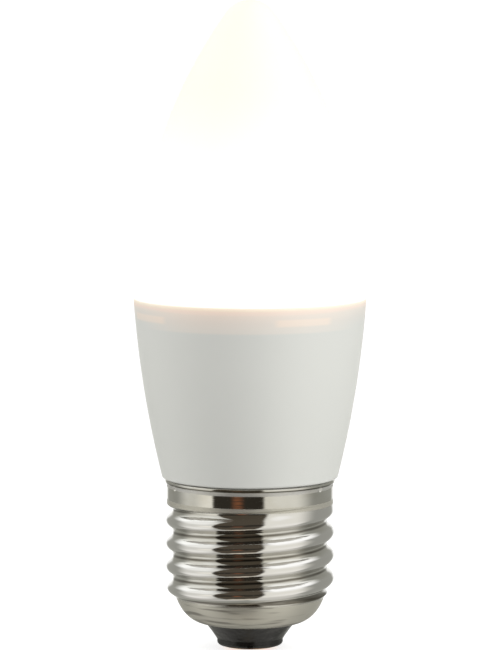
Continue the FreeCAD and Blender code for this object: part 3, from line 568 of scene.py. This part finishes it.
def diffuser_outline(crosses):
    """The diffuser's section, with a lug on its neck where the column crosses one."""
    lug = LUG_DEPTH if crosses else 0
    foot_edge = (side_radius(SEAM_HEIGHT, 0), SEAM_HEIGHT)
    shoulder = (side_radius(SEAM_HEIGHT + SHOULDER, DIFFUSER_WALL), SEAM_HEIGHT + SHOULDER)
    outline = [(NECK_RADIUS, NECK_FOOT), (NECK_RADIUS, LUG_MIDDLE - LUG_HALF),
               (NECK_RADIUS + lug, LUG_MIDDLE), (NECK_RADIUS, LUG_MIDDLE + LUG_HALF),
               (NECK_RADIUS, SEAM_HEIGHT)]
    side = arc_stretch(foot_edge, tip_joint(0), SIDE_ARC, 1, SIDE_STEPS)
    outline += eased_corner(outline[-1], foot_edge, side[0], EDGE_ROUND) + side
    outline += arc_stretch(tip_joint(0), (0, TIP_HEIGHT), TIP_RADIUS, 1, TIP_STEPS)
    inner_joint = tip_joint(DIFFUSER_WALL)
    inner_tip = (0, TIP_HEIGHT - DIFFUSER_WALL)
    outline.append(inner_tip)
    outline += arc_stretch(inner_tip, inner_joint, TIP_RADIUS - DIFFUSER_WALL, -1, INSIDE_TIP_STEPS)
    outline += arc_stretch(inner_joint, shoulder, SIDE_ARC - DIFFUSER_WALL, -1, INSIDE_STEPS)
    neck_inside = NECK_RADIUS - NECK_WALL
    return outline + [(neck_inside, SEAM_HEIGHT), (neck_inside, NECK_FOOT)]


opal_plastic, tree, surface = new_finish(
    "lit_opal_plastic", OPAL_WHITE, 0.48, IOR=1.49, Specular_IOR_Level=0.1, Coat_Weight=0.3,
    Coat_Roughness=0.5, Coat_Tint=tone(*SKIN_TINT))
x, y, z = own_place(tree)
lit = two_tone(tree, z.eased(WARM_FROM, WARM_FULL), LIT_FULL, LIT_TIP)
tree.links.new(lit, surface.inputs["Emission Color"])
surface.inputs["Emission Strength"].default_value = 1
set_roughness(tree, surface, cloudy(tree, 5 * MM), 0.42, 0.54)
emboss(tree, surface, cloudy(tree, 0.6 * MM), 0.002 * MM)
diffuser = turned_piece("opal_diffuser", lug_columns(LUG_SPAN), diffuser_outline, opal_plastic)
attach(diffuser, "root")
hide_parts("diffuser")

# The screw cap is rolled from thin steel sheet and nickel plated. Its round thread winds four
# and a half turns up from a bowl to a plain collar, which opens in a small flare under the
# housing, and three punch marks in the collar hold it to the housing's spigot.
cap_low, cap_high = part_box("screw_shell")
CAP_WALL = 0.3 * MM
CAP_SIZES = {
    "Pitch": 3.629 * MM,
    "Crest radius": 13.15 * MM,
    "Root radius": 12.05 * MM,
    "Thread start": 7.3 * MM,
    "Thread end": 23.63 * MM,
    "Thread turn": math.radians(160),
    "Lead in": 0.6,
    "Run out": 0.35,
    "Crest fade": 0.9,
    "Collar radius": 12.97 * MM,
    "Flare reach": 0.3 * MM,
    "Flare height": 1.2 * MM,
    "Bead height": 0.4 * MM,
    "Bead round": 0.15 * MM,
    "Top": cap_high.z,
    "Rim radius": 7.25 * MM,
    "Rim height": cap_low.z,
    "Bowl top": 11.1 * MM,
    "Stake turn": math.radians(86.3),
    "Stake height": STAKE_HEIGHT,
    "Stake radius": 0.55 * MM,
    "Stake set back": 0.25 * MM,
}
CAP_COLUMNS = 288
THREAD_STEPS = 14
BOWL_STEPS = 14
FLARE_STEPS = 30
STAKE_COUNT = 3
CROWDING = 0.7
SETTLING_ROUNDS = 40
ROW_SLACK = 1e-4
CAP_SHARP_TURN = math.radians(50)
# Tones of the plate: plain, filmed over, a painted highlight on the crests, painted shade in the
# valleys, a warm grey on the satin that is partly its own and partly a painted reflection, and
# painted shade in the crease under the bead.
NICKEL = (194, 193, 189)
NICKEL_WARM = (187, 185, 179)
CREST_PAINTED_HIGHLIGHT = (207, 206, 205)
VALLEY_SHADE_AND_BOWL_LINES = (92, 88, 80)
SATIN_AND_PAINTED_REFLECTION = (187, 184, 173)
CREASE_PAINTED_SHADE = (84, 81, 73)
# The heights where one finish gives way to the next, going up, and how softly.
SATIN_BOWL_TOP = 8.3 * MM
THREAD_SHINE_FOOT = 8.45 * MM
THREAD_SHINE_TOP = 22.9 * MM
SATIN_BAND_TOP = 23.7 * MM
SATIN_FLARE_FOOT = 25.62 * MM
CREASE_FOOT = 26.2 * MM
CREASE_TOP = 26.42 * MM
BOWL_BLEND = 0.3 * MM
THREAD_BLEND = 0.15 * MM
EDGE_BLEND = 0.08 * MM
# How the tone goes from the painted shade in the thread's valleys to the painted highlight on
# its crests, and how strong the marks are.
VALLEY_RADIUS = 12.1 * MM
CREST_RADIUS = 12.95 * MM
VALLEY_SHADE = 0.5
VALLEY_SHADE_STREAKS = 0.8
FILM_EDGE = (0.35, 0.65)
BOWL_LINES = 0.7
BOWL_LINE_EDGE = (0.5, 0.66)
MIRROR = 0.03
SATIN = 0.36
STREAK_ROUGHNESS = 0.07
DULLED = 0.45
PLATE_RELIEF = 0.013 * MM


def between(value, start, end, softness):
    """One from the start to the end and nought outside, with soft edges."""
    return past(value, start, softness) * (1 - past(value, end, softness))


nickel_finish, tree, surface = new_finish("nickel_plate", NICKEL, 0.1, Metallic=1.0)
x, y, z = own_place(tree)
film = cloudy(tree, 5 * MM, stretch=(1, 1, 0.5), detail=4).eased(*FILM_EDGE)
streaks = cloudy(tree, 0.7 * MM, stretch=(5, 5, 0.4), detail=3)
drawn_lines = cloudy(tree, 1.6 * MM, stretch=(6, 6, 0.5), detail=2)
rolled_lines = cloudy(tree, 0.35 * MM, stretch=(9, 9, 0.5), detail=2)
threaded = between(z, THREAD_SHINE_FOOT, THREAD_SHINE_TOP, THREAD_BLEND)
# A painted highlight: a lighter tone on the thread's crests.
crest = off_axis(x, y).eased(VALLEY_RADIUS, CREST_RADIUS) * threaded
# Painted shade: a darker, streaked tone in the thread's valleys, where the plate lies in shade.
painted_valley_shade = (1 - off_axis(x, y).eased(CAP_SIZES["Root radius"], VALLEY_RADIUS)) * threaded
# The satin bowl and band get a warm grey tone that is partly the plate's own and partly a painted
# reflection.
satin_and_reflection_bowl = 1 - past(z, SATIN_BOWL_TOP, BOWL_BLEND)
satin_and_reflection_band = past(z, THREAD_SHINE_TOP, THREAD_BLEND) * (1 - past(z, SATIN_BAND_TOP, EDGE_BLEND))
satin_flare = between(z, SATIN_FLARE_FOOT, CREASE_FOOT, EDGE_BLEND)
satin_with_painted_reflection = satin_and_reflection_bowl.worked("MAXIMUM", satin_and_reflection_band)
satin = satin_with_painted_reflection.worked("MAXIMUM", satin_flare)
plate_tone = two_tone(tree, film, NICKEL, NICKEL_WARM)
for share, further_tone in (
        (crest, CREST_PAINTED_HIGHLIGHT),
        (painted_valley_shade * (streaks * VALLEY_SHADE_STREAKS + VALLEY_SHADE), VALLEY_SHADE_AND_BOWL_LINES),
        (satin_with_painted_reflection, SATIN_AND_PAINTED_REFLECTION),
        (satin_and_reflection_bowl * drawn_lines.eased(*BOWL_LINE_EDGE) * BOWL_LINES, VALLEY_SHADE_AND_BOWL_LINES),
        # Painted shade: a dark band in the crease under the bead.
        (between(z, CREASE_FOOT, CREASE_TOP, EDGE_BLEND), CREASE_PAINTED_SHADE)):
    plate_tone = two_tone(tree, share, plate_tone, further_tone)
tree.links.new(plate_tone, surface.inputs["Base Color"])
roughness = satin * (SATIN - MIRROR) + MIRROR + streaks * STREAK_ROUGHNESS
tree.links.new(roughness.socket, surface.inputs["Roughness"])
tree.links.new((1 - satin * DULLED).socket, surface.inputs["Metallic"])
emboss(tree, surface, drawn_lines + rolled_lines, PLATE_RELIEF)

cap_tree = bpy.data.node_groups.new("rolled_cap", "GeometryNodeTree")
cap_tree.is_modifier = True
cap_tree.interface.new_socket("Geometry", in_out="OUTPUT", socket_type="NodeSocketGeometry")
cap_inputs = {name: cap_tree.interface.new_socket(
    name, in_out="INPUT", socket_type="NodeSocketFloat") for name in CAP_SIZES}
cap_sizes_node = cap_tree.nodes.new("NodeGroupInput")
size = {name: Reading(cap_tree, cap_sizes_node.outputs[name]) for name in CAP_SIZES}


def either(choose, chosen, other):
    """The first number where the choice is one, and the other where it is nought."""
    return choose * (chosen - other) + other


def skin_grid(rows):
    """A flat grid, with how far round and how far up it each point lies, from 0 to 1."""
    grid = cap_tree.nodes.new("GeometryNodeMeshGrid")
    grid.inputs["Size X"].default_value = 1
    grid.inputs["Size Y"].default_value = 1
    grid.inputs["Vertices X"].default_value = CAP_COLUMNS + 1
    grid.inputs["Vertices Y"].default_value = rows + 1
    place = cap_tree.nodes.new("GeometryNodeInputPosition")
    split = cap_tree.nodes.new("ShaderNodeSeparateXYZ")
    cap_tree.links.new(place.outputs[0], split.inputs[0])
    shares = [Reading(cap_tree, split.outputs[number]) + 0.5 for number in range(2)]
    return (grid.outputs["Mesh"], *shares)


def turn_from_start(share):
    """Angle from the thread's start; columns crowd where the three punch marks are."""
    mark = (CAP_SIZES["Stake turn"] - CAP_SIZES["Thread turn"]) * STAKE_COUNT
    crowd_at = mark
    for repeat in range(SETTLING_ROUNDS):
        crowd_at = mark + CROWDING * math.sin(crowd_at)
    whole = share * (2 * math.pi)
    sway = (whole * STAKE_COUNT - crowd_at).worked("SINE") + math.sin(crowd_at)
    return whole - sway * (CROWDING / STAKE_COUNT)


def bend_grid(mesh, turn, radius, height):
    """Moves the grid's points to their places on the cap."""
    angle = turn + size["Thread turn"]
    point = cap_tree.nodes.new("ShaderNodeCombineXYZ")
    for socket, value in zip(point.inputs, (radius * angle.worked("COSINE"),
                                            radius * angle.worked("SINE"), height)):
        cap_tree.links.new(value.socket, socket)
    moved = cap_tree.nodes.new("GeometryNodeSetPosition")
    cap_tree.links.new(mesh, moved.inputs["Geometry"])
    cap_tree.links.new(point.outputs[0], moved.inputs["Position"])
    return moved.outputs["Geometry"]


def bowl_radius(height):
    """Quarter ellipse from the cap's rim up to the thread's root."""
    depth = size["Bowl top"] - size["Rim height"]
    below = (size["Bowl top"] - height).worked("MAXIMUM", 0) / depth
    width = size["Root radius"] - size["Rim radius"]
    return size["Rim radius"] + width * (below * below * -1 + 1).worked("SQRT")


def thread_swell(share):
    """Height of the round thread over one pitch, in two equal arcs, from nought to one."""
    half = size["Pitch"] / 2
    ridge = size["Crest radius"] - size["Root radius"]
    arc = half / (((ridge / half).worked("ARCTANGENT") * 2).worked("SINE") * 2)
    off_crest = (share - 0.5).worked("ABSOLUTE") * size["Pitch"]
    off_root = half - off_crest
    crown = ridge - arc + (arc * arc - off_crest * off_crest).worked("SQRT")
    hollow = arc - (arc * arc - off_root * off_root).worked("SQRT")
    return either(off_crest.worked("LESS_THAN", half / 2), crown, hollow) / ridge


def root_line(turns):
    """Height of the thread's root line, level for its first turn and after its last."""
    rise = size["Thread start"] + size["Pitch"] * (turns - 1)
    return rise.worked("MAXIMUM", size["Thread start"]).worked("MINIMUM", size["Thread end"])


def bowl_skin():
    """The bowl, from the rim round the insulator up to the thread's start."""
    mesh, share_round, share_up = skin_grid(BOWL_STEPS)
    depth = size["Bowl top"] - size["Rim height"]
    last = ((size["Bowl top"] - size["Thread start"]) / depth).worked("ARCCOSINE")
    height = size["Bowl top"] - depth * (share_up * last).worked("COSINE")
    return bend_grid(mesh, turn_from_start(share_round), bowl_radius(height), height)


def thread_skin():
    """The thread, row by row; its lead in, run out and crest fade are in turns."""
    rise = CAP_SIZES["Thread end"] - CAP_SIZES["Thread start"]
    winds = 1 + rise / CAP_SIZES["Pitch"]
    rows = math.ceil(winds)
    mesh, share_round, share_up = skin_grid(rows * THREAD_STEPS)
    turn = turn_from_start(share_round)
    # The slack keeps the first points of a row in that row.
    rounded_up = share_up * rows + ROW_SLACK
    whole_rows = rounded_up.worked("FLOOR")
    share = (rounded_up - whole_rows - ROW_SLACK).worked("MAXIMUM", 0)
    turns = turn / (2 * math.pi) + whole_rows
    low, high = root_line(turns), root_line(turns + 1)
    height = low + share * (high - low)
    # The ridge grows out of the bowl, and at its end sinks to the collar's radius.
    along = turns + share
    grown = ((along - 1) / size["Lead in"]).eased(0, 1)
    sunk = 1 - ((along * -1 + winds) / size["Crest fade"]).eased(0, 1)
    ridge = size["Crest radius"] - size["Root radius"]
    crown = ridge - sunk * (size["Crest radius"] - size["Collar radius"])
    # The last hollow fills up, so that the thread runs out into the collar.
    line = turns + share.worked("GREATER_THAN", 0.5)
    cut = ((line * -1 + winds) / size["Run out"]).eased(0, 1)
    swell = either(cut, thread_swell(share), 1)
    return bend_grid(mesh, turn, bowl_radius(height) + crown * swell * grown, height)


def collar_skin():
    """The collar, with its punch marks, and the flare and rolled bead at its top."""
    mesh, share_round, share_up = skin_grid(FLARE_STEPS)
    turn = turn_from_start(share_round)
    height = size["Thread end"] + share_up * (size["Top"] - size["Thread end"])
    rise = size["Flare height"] - size["Bead height"]
    opened = (height - size["Top"] + size["Flare height"]) / rise
    opened = opened.worked("MAXIMUM", 0).worked("MINIMUM", 1)
    beaded = (height - size["Top"] + size["Bead height"]).worked("MAXIMUM", 0) / size["Bead height"]
    flare = opened * opened * size["Flare reach"] - beaded * beaded * size["Bead round"]
    off_mark = nearest_turn(turn + size["Thread turn"], size["Stake turn"], STAKE_COUNT)
    off_round = off_mark * size["Collar radius"]
    off_height = height - size["Stake height"]
    reach = (size["Stake radius"] * size["Stake radius"]
             - off_round * off_round - off_height * off_height)
    dimple = reach.worked("MAXIMUM", 0).worked("SQRT") - size["Stake set back"]
    radius = size["Collar radius"] + flare - dimple.worked("MAXIMUM", 0)
    return bend_grid(mesh, turn, radius, height)


joined = cap_tree.nodes.new("GeometryNodeJoinGeometry")
for skin in (bowl_skin(), thread_skin(), collar_skin()):
    cap_tree.links.new(skin, joined.inputs[0])
merged = cap_tree.nodes.new("GeometryNodeMergeByDistance")
merged.inputs["Distance"].default_value = 0.002 * MM
realized = cap_tree.nodes.new("GeometryNodeRealizeInstances")
plated = cap_tree.nodes.new("GeometryNodeSetMaterial")
plated.inputs["Material"].default_value = nickel_finish
cap_out = cap_tree.nodes.new("NodeGroupOutput")
for start, end in ((joined, merged), (merged, realized), (realized, plated), (plated, cap_out)):
    cap_tree.links.new(start.outputs[0], end.inputs[0])

blank = bpy.data.objects.new("cap_blank", bpy.data.meshes.new("cap_blank"))
bpy.context.scene.collection.objects.link(blank)
rolling = blank.modifiers.new("rolling", "NODES")
rolling.node_group = cap_tree
for name, socket in cap_inputs.items():
    rolling[socket.identifier] = CAP_SIZES[name]
sheet_metal = blank.modifiers.new("sheet_metal", "SOLIDIFY")
sheet_metal.thickness = CAP_WALL
sheet_metal.offset = -1
rolled = blank.evaluated_get(bpy.context.evaluated_depsgraph_get())
cap_mesh = bpy.data.meshes.new_from_object(rolled)
bpy.data.objects.remove(blank)
cap_mesh.shade_smooth()
cap_mesh.set_sharp_from_angle(angle=CAP_SHARP_TURN)
screw_cap = bpy.data.objects.new("rolled_screw_cap", cap_mesh)
bpy.context.scene.collection.objects.link(screw_cap)
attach(screw_cap, "root")
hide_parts("screw_shell")

# The insulator is a black glossy moulding whose flange is caught in the cap's foot. Below the
# cap it narrows in a hollow cone to a rounded lip with a small moulding notch, and a boss
# inside takes the contact pin.
insulator_low, insulator_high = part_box("insulator")
LIP_RADIUS = 5.15 * MM
LIP_HEIGHT = 1.7 * MM
LIP_ROUND = 0.6 * MM
NECK_STEP = 0.15 * MM
HOLLOW_ARC = 25 * MM
FLANGE_RADIUS = insulator_high.x
FLANGE_ARC = 4.2 * MM
FLANGE_HEIGHT = insulator_high.z
FLANGE_EDGE = 0.4 * MM
INSULATOR_WALL = 1.3 * MM
INSULATOR_FLOOR = 2.4 * MM
INSULATOR_FOOT = insulator_low.z
POCKET_HEIGHT = 0.8 * MM
POCKET_RADIUS = 4.35 * MM
BOSS_RADIUS = 2.4 * MM
BOSS_HEIGHT = 5 * MM
PIN_HOLE = 0.9 * MM
NOTCH_TURN = math.radians(270)
NOTCH_SPAN = math.radians(10)
NOTCH_ROOT = 4.75 * MM
NOTCH_HEIGHT = 1.1 * MM
NOTCH_STEPS = 8
LIP_STEPS = 8
HOLLOW_STEPS = 16
ROUND_COLUMNS = 192
INSULATOR_BLACK = (12, 11, 10)
LIP_DULL = 0.22
LIP_BLEND = 0.3 * MM


def notched_columns(count):
    """Angles round the axis, each with whether it crosses the notch; its sides come twice."""
    columns = [(NOTCH_TURN + NOTCH_SPAN * (step / NOTCH_STEPS - 0.5), True)
               for step in range(NOTCH_STEPS + 1)]
    rest = 2 * math.pi - NOTCH_SPAN
    columns += [(NOTCH_TURN + NOTCH_SPAN / 2 + rest * step / count, False)
                for step in range(count + 1)]
    return columns


def insulator_outline(crosses):
    """The insulator's section, whose lip is cut back where the column crosses the notch."""
    seat_radius = CAP_SIZES["Rim radius"] - SLIP_FIT
    seat_height = CAP_SIZES["Rim height"] + CAP_WALL + SLIP_FIT
    lip_foot = (LIP_RADIUS - LIP_ROUND, INSULATOR_FOOT)
    lip_side = (LIP_RADIUS, INSULATOR_FOOT + LIP_ROUND)
    neck = (LIP_RADIUS + NECK_STEP, LIP_HEIGHT)
    seat = (seat_radius, CAP_SIZES["Rim height"])
    flange = (FLANGE_RADIUS, FLANGE_HEIGHT - FLANGE_EDGE)
    lip = [lip_foot] + arc_stretch(lip_foot, lip_side, LIP_ROUND, 1, LIP_STEPS)
    notch_floor = (LIP_RADIUS, NOTCH_HEIGHT)
    if crosses:
        lip = [(min(radius, NOTCH_ROOT), height) for radius, height in lip]
        notch_floor = (NOTCH_ROOT, NOTCH_HEIGHT)
    outline = [(PIN_HOLE, POCKET_HEIGHT), (POCKET_RADIUS, POCKET_HEIGHT)]
    outline += [(POCKET_RADIUS, INSULATOR_FOOT)] + lip + [notch_floor, (LIP_RADIUS, NOTCH_HEIGHT)]
    outline += [(LIP_RADIUS, LIP_HEIGHT), neck]
    outline += arc_stretch(neck, seat, HOLLOW_ARC, -1, HOLLOW_STEPS) + [(seat_radius, seat_height)]
    outline += arc_stretch(outline[-1], flange, FLANGE_ARC, 1, LIP_STEPS)
    return outline + [(FLANGE_RADIUS, FLANGE_HEIGHT),
                      (FLANGE_RADIUS - INSULATOR_WALL, FLANGE_HEIGHT),
                      (LIP_RADIUS - INSULATOR_WALL, INSULATOR_FLOOR),
                      (BOSS_RADIUS, INSULATOR_FLOOR), (BOSS_RADIUS, BOSS_HEIGHT),
                      (PIN_HOLE, BOSS_HEIGHT)]


black_moulding, tree, surface = new_finish(
    "glossy_black_moulding", INSULATOR_BLACK, 0.18, IOR=1.42)
x, y, z = own_place(tree)
dull_lip = (1 - z.eased(LIP_HEIGHT, LIP_HEIGHT + LIP_BLEND)) * LIP_DULL
set_roughness(tree, surface, cloudy(tree, 1.2 * MM), 0.1, 0.26, dull_lip)
emboss(tree, surface, cloudy(tree, 1.3 * MM, stretch=(1.2, 1.2, 0.8)), 0.16 * MM)
insulator = turned_piece("black_insulator", notched_columns(ROUND_COLUMNS),
                         insulator_outline, black_moulding)
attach(insulator, "root")
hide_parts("insulator")

# The centre contact is a brass disc let into the insulator's foot, held by the domed head of a
# steel pin that is driven up into the boss and carries the live lead.
CONTACT_RADIUS = 4.25 * MM
CONTACT_LOW = 0.4 * MM
PIN_HEAD = 1.9 * MM
PIN_HEAD_ROUND = 0.25 * MM
PIN_RADIUS = 0.8 * MM
PIN_TOP = 7.4 * MM
CONTACT_COLUMNS = 96
BRASS = (190, 140, 92)
STEEL = (186, 176, 164)


def plain_columns(count):
    """Angles evenly round the axis, none of which crosses anything."""
    return [(2 * math.pi * number / count, False) for number in range(count)]


def plate_outline(crosses):
    """The disc's section, rounded at its lower edge."""
    low_edge = eased_corner((PIN_HOLE, CONTACT_LOW), (CONTACT_RADIUS, CONTACT_LOW),
                            (CONTACT_RADIUS, POCKET_HEIGHT), EDGE_ROUND)
    return [(PIN_HOLE, CONTACT_LOW)] + low_edge + [(CONTACT_RADIUS, POCKET_HEIGHT),
                                                   (PIN_HOLE, POCKET_HEIGHT)]


def pin_outline(crosses):
    """The pin's section, with a low head rounded at its edge."""
    foot = (PIN_HEAD - PIN_HEAD_ROUND, 0)
    edge = (PIN_HEAD, PIN_HEAD_ROUND)
    outline = [(0, 0), foot] + arc_stretch(foot, edge, PIN_HEAD_ROUND, 1, ROUND_STEPS)
    return outline + [(PIN_HEAD, CONTACT_LOW), (PIN_RADIUS, CONTACT_LOW),
                      (PIN_RADIUS, PIN_TOP), (0, PIN_TOP)]


for name, node, slot_name, colour, outline_at in (
        ("brass_contact_plate", "contact_plate", "contact_brass", BRASS, plate_outline),
        ("steel_contact_pin", "contact_pin", "contact_steel", STEEL, pin_outline)):
    finish, tree, surface = new_finish(name + "_metal", colour, 0.25, Metallic=1.0)
    set_roughness(tree, surface, cloudy(tree, 0.8 * MM), 0.18, 0.36)
    emboss(tree, surface, cloudy(tree, 0.4 * MM), 0.006 * MM)
    piece = turned_piece(name, plain_columns(CONTACT_COLUMNS), outline_at, finish)
    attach(piece, "root")
    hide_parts(node)

# The studio is plain: a white floor in white air, even light from all round and a tall soft lamp
# at each side. A tent of lit and dark panels hangs round the bulb, and only gloss shows it.
FLOOR_SIZE = 12.0
FLOOR_WHITE = (230, 230, 230)
AIR_WHITE = (1, 1, 1, 1)
# The floor's own light where it is seen, and the air's light on the bulb, where 1 is white.
FLOOR_LIFT = 0.69
AMBIENT = 0.525


def seen_share(tree):
    """One where the camera looks, by itself or through gloss or glass, and else nought."""
    rays = tree.nodes.new("ShaderNodeLightPath")
    seen = Reading(tree, rays.outputs["Is Camera Ray"])
    for name in ("Is Glossy Ray", "Is Transmission Ray"):
        seen = seen.worked("MAXIMUM", Reading(tree, rays.outputs[name]))
    return seen


world = bpy.data.worlds.new("studio_air")
world.use_nodes = True
bpy.context.scene.world = world
tree = world.node_tree
strength = seen_share(tree) * (1 - AMBIENT) + AMBIENT
tree.links.new(strength.socket, tree.nodes["Background"].inputs["Strength"])
tree.nodes["Background"].inputs["Color"].default_value = AIR_WHITE


def stage_piece(name, mesh, finish):
    """Puts a mesh in the scene that isn't part of the bulb."""
    mesh.materials.append(finish)
    piece = bpy.data.objects.new(name, mesh)
    bpy.context.scene.collection.objects.link(piece)
    return piece


floor_finish, tree, surface = new_finish("white_floor", FLOOR_WHITE, 0.9, Specular_IOR_Level=0.0)
surface.inputs["Emission Color"].default_value = AIR_WHITE
tree.links.new((seen_share(tree) * FLOOR_LIFT).socket, surface.inputs["Emission Strength"])
half = FLOOR_SIZE / 2
floor_mesh = bpy.data.meshes.new("studio_floor")
floor_mesh.from_pydata([(-half, -half, 0), (half, -half, 0), (half, half, 0), (-half, half, 0)],
                       [], [(0, 1, 2, 3)])
floor = stage_piece("studio_floor", floor_mesh, floor_finish)
floor.visible_glossy = False

# Each panel of the tent has a place round the bulb from the front and a place above the level,
# in degrees with the softness of its edges, and the tone that it gives bright plate. Its light
# is raised to make up for what the plate takes away. A panel lies over those before it.
TENT_RADIUS = 1.5
TENT_FINENESS = 4
LIGHT_FOR_TONE = 1.92
WALL_TONE = (131, 131, 125)
TENT_PANELS = {
    "low_left": ((-150, -70, 20), (-95, -38, 8), (165, 163, 158)),
    "low_right": ((20, 165, 15), (-95, -50, 8), (178, 176, 170)),
    "dim_top": ((-190, 190, 5), (61, 95, 5), (76, 68, 60)),
    "high_left": ((-168, -84, 14), (26, 62, 8), (232, 233, 230)),
    "left_panel": ((-108, -36, 16), (-45, 50, 12), (188, 187, 181)),
    "left_panel_top": ((-112, -62, 13), (18, 52, 10), (214, 214, 210)),
    "left_panel_foot": ((-110, -62, 13), (-50, -18, 9), (208, 207, 202)),
    "left_panel_front": ((-74, -40, 12), (-16, 4, 6), (212, 209, 200)),
    "right_panel": ((5, 83, 20), (-58, 52, 12), (203, 201, 193)),
    "right_panel_top": ((34, 84, 9), (24, 54, 8), (216, 215, 211)),
    "right_panel_foot": ((34, 84, 9), (-46, -16, 8), (210, 208, 202)),
    "high_right": ((34, 172, 13), (40, 84, 8), (234, 234, 232)),
    "dark_front": ((-52, 18.5, 3), (-95, 95, 5), (66, 60, 51)),
    "bright_foreground": ((-60, 30, 9), (-95, -66, 4), (176, 169, 156)),
    "dark_band": ((-52, 18.5, 3), (-15, 9, 4), (42, 39, 34)),
    "brown_spot": ((-23, -11, 5), (-17, -5, 3), (112, 72, 50)),
    "open_right": ((157, 190, 6), (-19, 8, 5), (200, 200, 198)),
    "open_left": ((-190, -160, 6), (-17, 11, 5), (200, 200, 198)),
}


def within(value, *degrees):
    """One between two angles and nought outside, with edges as soft as a third, in degrees."""
    return between(value, *(math.radians(angle) for angle in degrees))


tent_finish, tree, surface = new_finish("tent_panels", (0, 0, 0), 1.0, Specular_IOR_Level=0.0)
x, y, z = own_place(tree)
round_front = x.worked("ARCTAN2", y * -1)
above_level = z.worked("ARCTAN2", off_axis(x, y))
light = WALL_TONE
for sideways, upwards, panel_tone in TENT_PANELS.values():
    share = within(round_front, *sideways) * within(above_level, *upwards)
    light = two_tone(tree, share, light, panel_tone)
tree.links.new(light, surface.inputs["Emission Color"])
surface.inputs["Emission Strength"].default_value = LIGHT_FOR_TONE
tent_finish.cycles.emission_sampling = "NONE"
tent_mesh = bpy.data.meshes.new("studio_tent")
build = bmesh.new()
bmesh.ops.create_icosphere(build, subdivisions=TENT_FINENESS, radius=TENT_RADIUS)
build.to_mesh(tent_mesh)
build.free()
tent = stage_piece("studio_tent", tent_mesh, tent_finish)
tent.visible_camera = False
tent.visible_diffuse = False
tent.visible_transmission = False
tent.visible_shadow = False

# The soft lamps are tall lit panels that face the bulb from its left and right. Each has a place
# round the bulb from the front, in degrees, and a power in watts.
LAMP_DISTANCE = 0.6
LAMP_HEIGHT = 0.24
LAMP_SIZE = (0.4, 0.75)
SOFT_LAMPS = (("left_soft_lamp", -97, 1.5), ("right_soft_lamp", 60, 2.25))
AIM = Vector((0, 0, 0.045))
for name, sideways, power in SOFT_LAMPS:
    lamp = bpy.data.lights.new(name, "AREA")
    lamp.shape = "RECTANGLE"
    lamp.size, lamp.size_y = LAMP_SIZE
    lamp.energy = power
    angle = math.radians(sideways)
    place = Vector((LAMP_DISTANCE * math.sin(angle), -LAMP_DISTANCE * math.cos(angle), LAMP_HEIGHT))
    lamp_object = bpy.data.objects.new(name, lamp)
    lamp_object.location = place
    lamp_object.rotation_euler = (AIM - place).to_track_quat("-Z", "Y").to_euler()
    lamp_object.visible_glossy = False
    bpy.context.scene.collection.objects.link(lamp_object)

# The camera looks a little down at the bulb, through a long lens, from two thirds of a metre in
# front and a little above its tip.
CAMERA_DISTANCE = 0.66
CAMERA_HEIGHT = 0.11815
CAMERA_TILT = 5.83
CAMERA_LENS = 236.3
camera = bpy.data.cameras.new("photo_camera")
camera.lens = CAMERA_LENS
camera.sensor_width = 36
camera.clip_start = 0.01
camera.clip_end = 50
camera_object = bpy.data.objects.new("photo_camera", camera)
camera_object.location = (0, -CAMERA_DISTANCE, CAMERA_HEIGHT)
camera_object.rotation_euler = (math.radians(90 - CAMERA_TILT), 0, 0)
bpy.context.scene.collection.objects.link(camera_object)
bpy.context.scene.camera = camera_object
bpy.context.scene.view_settings.view_transform = "Standard"
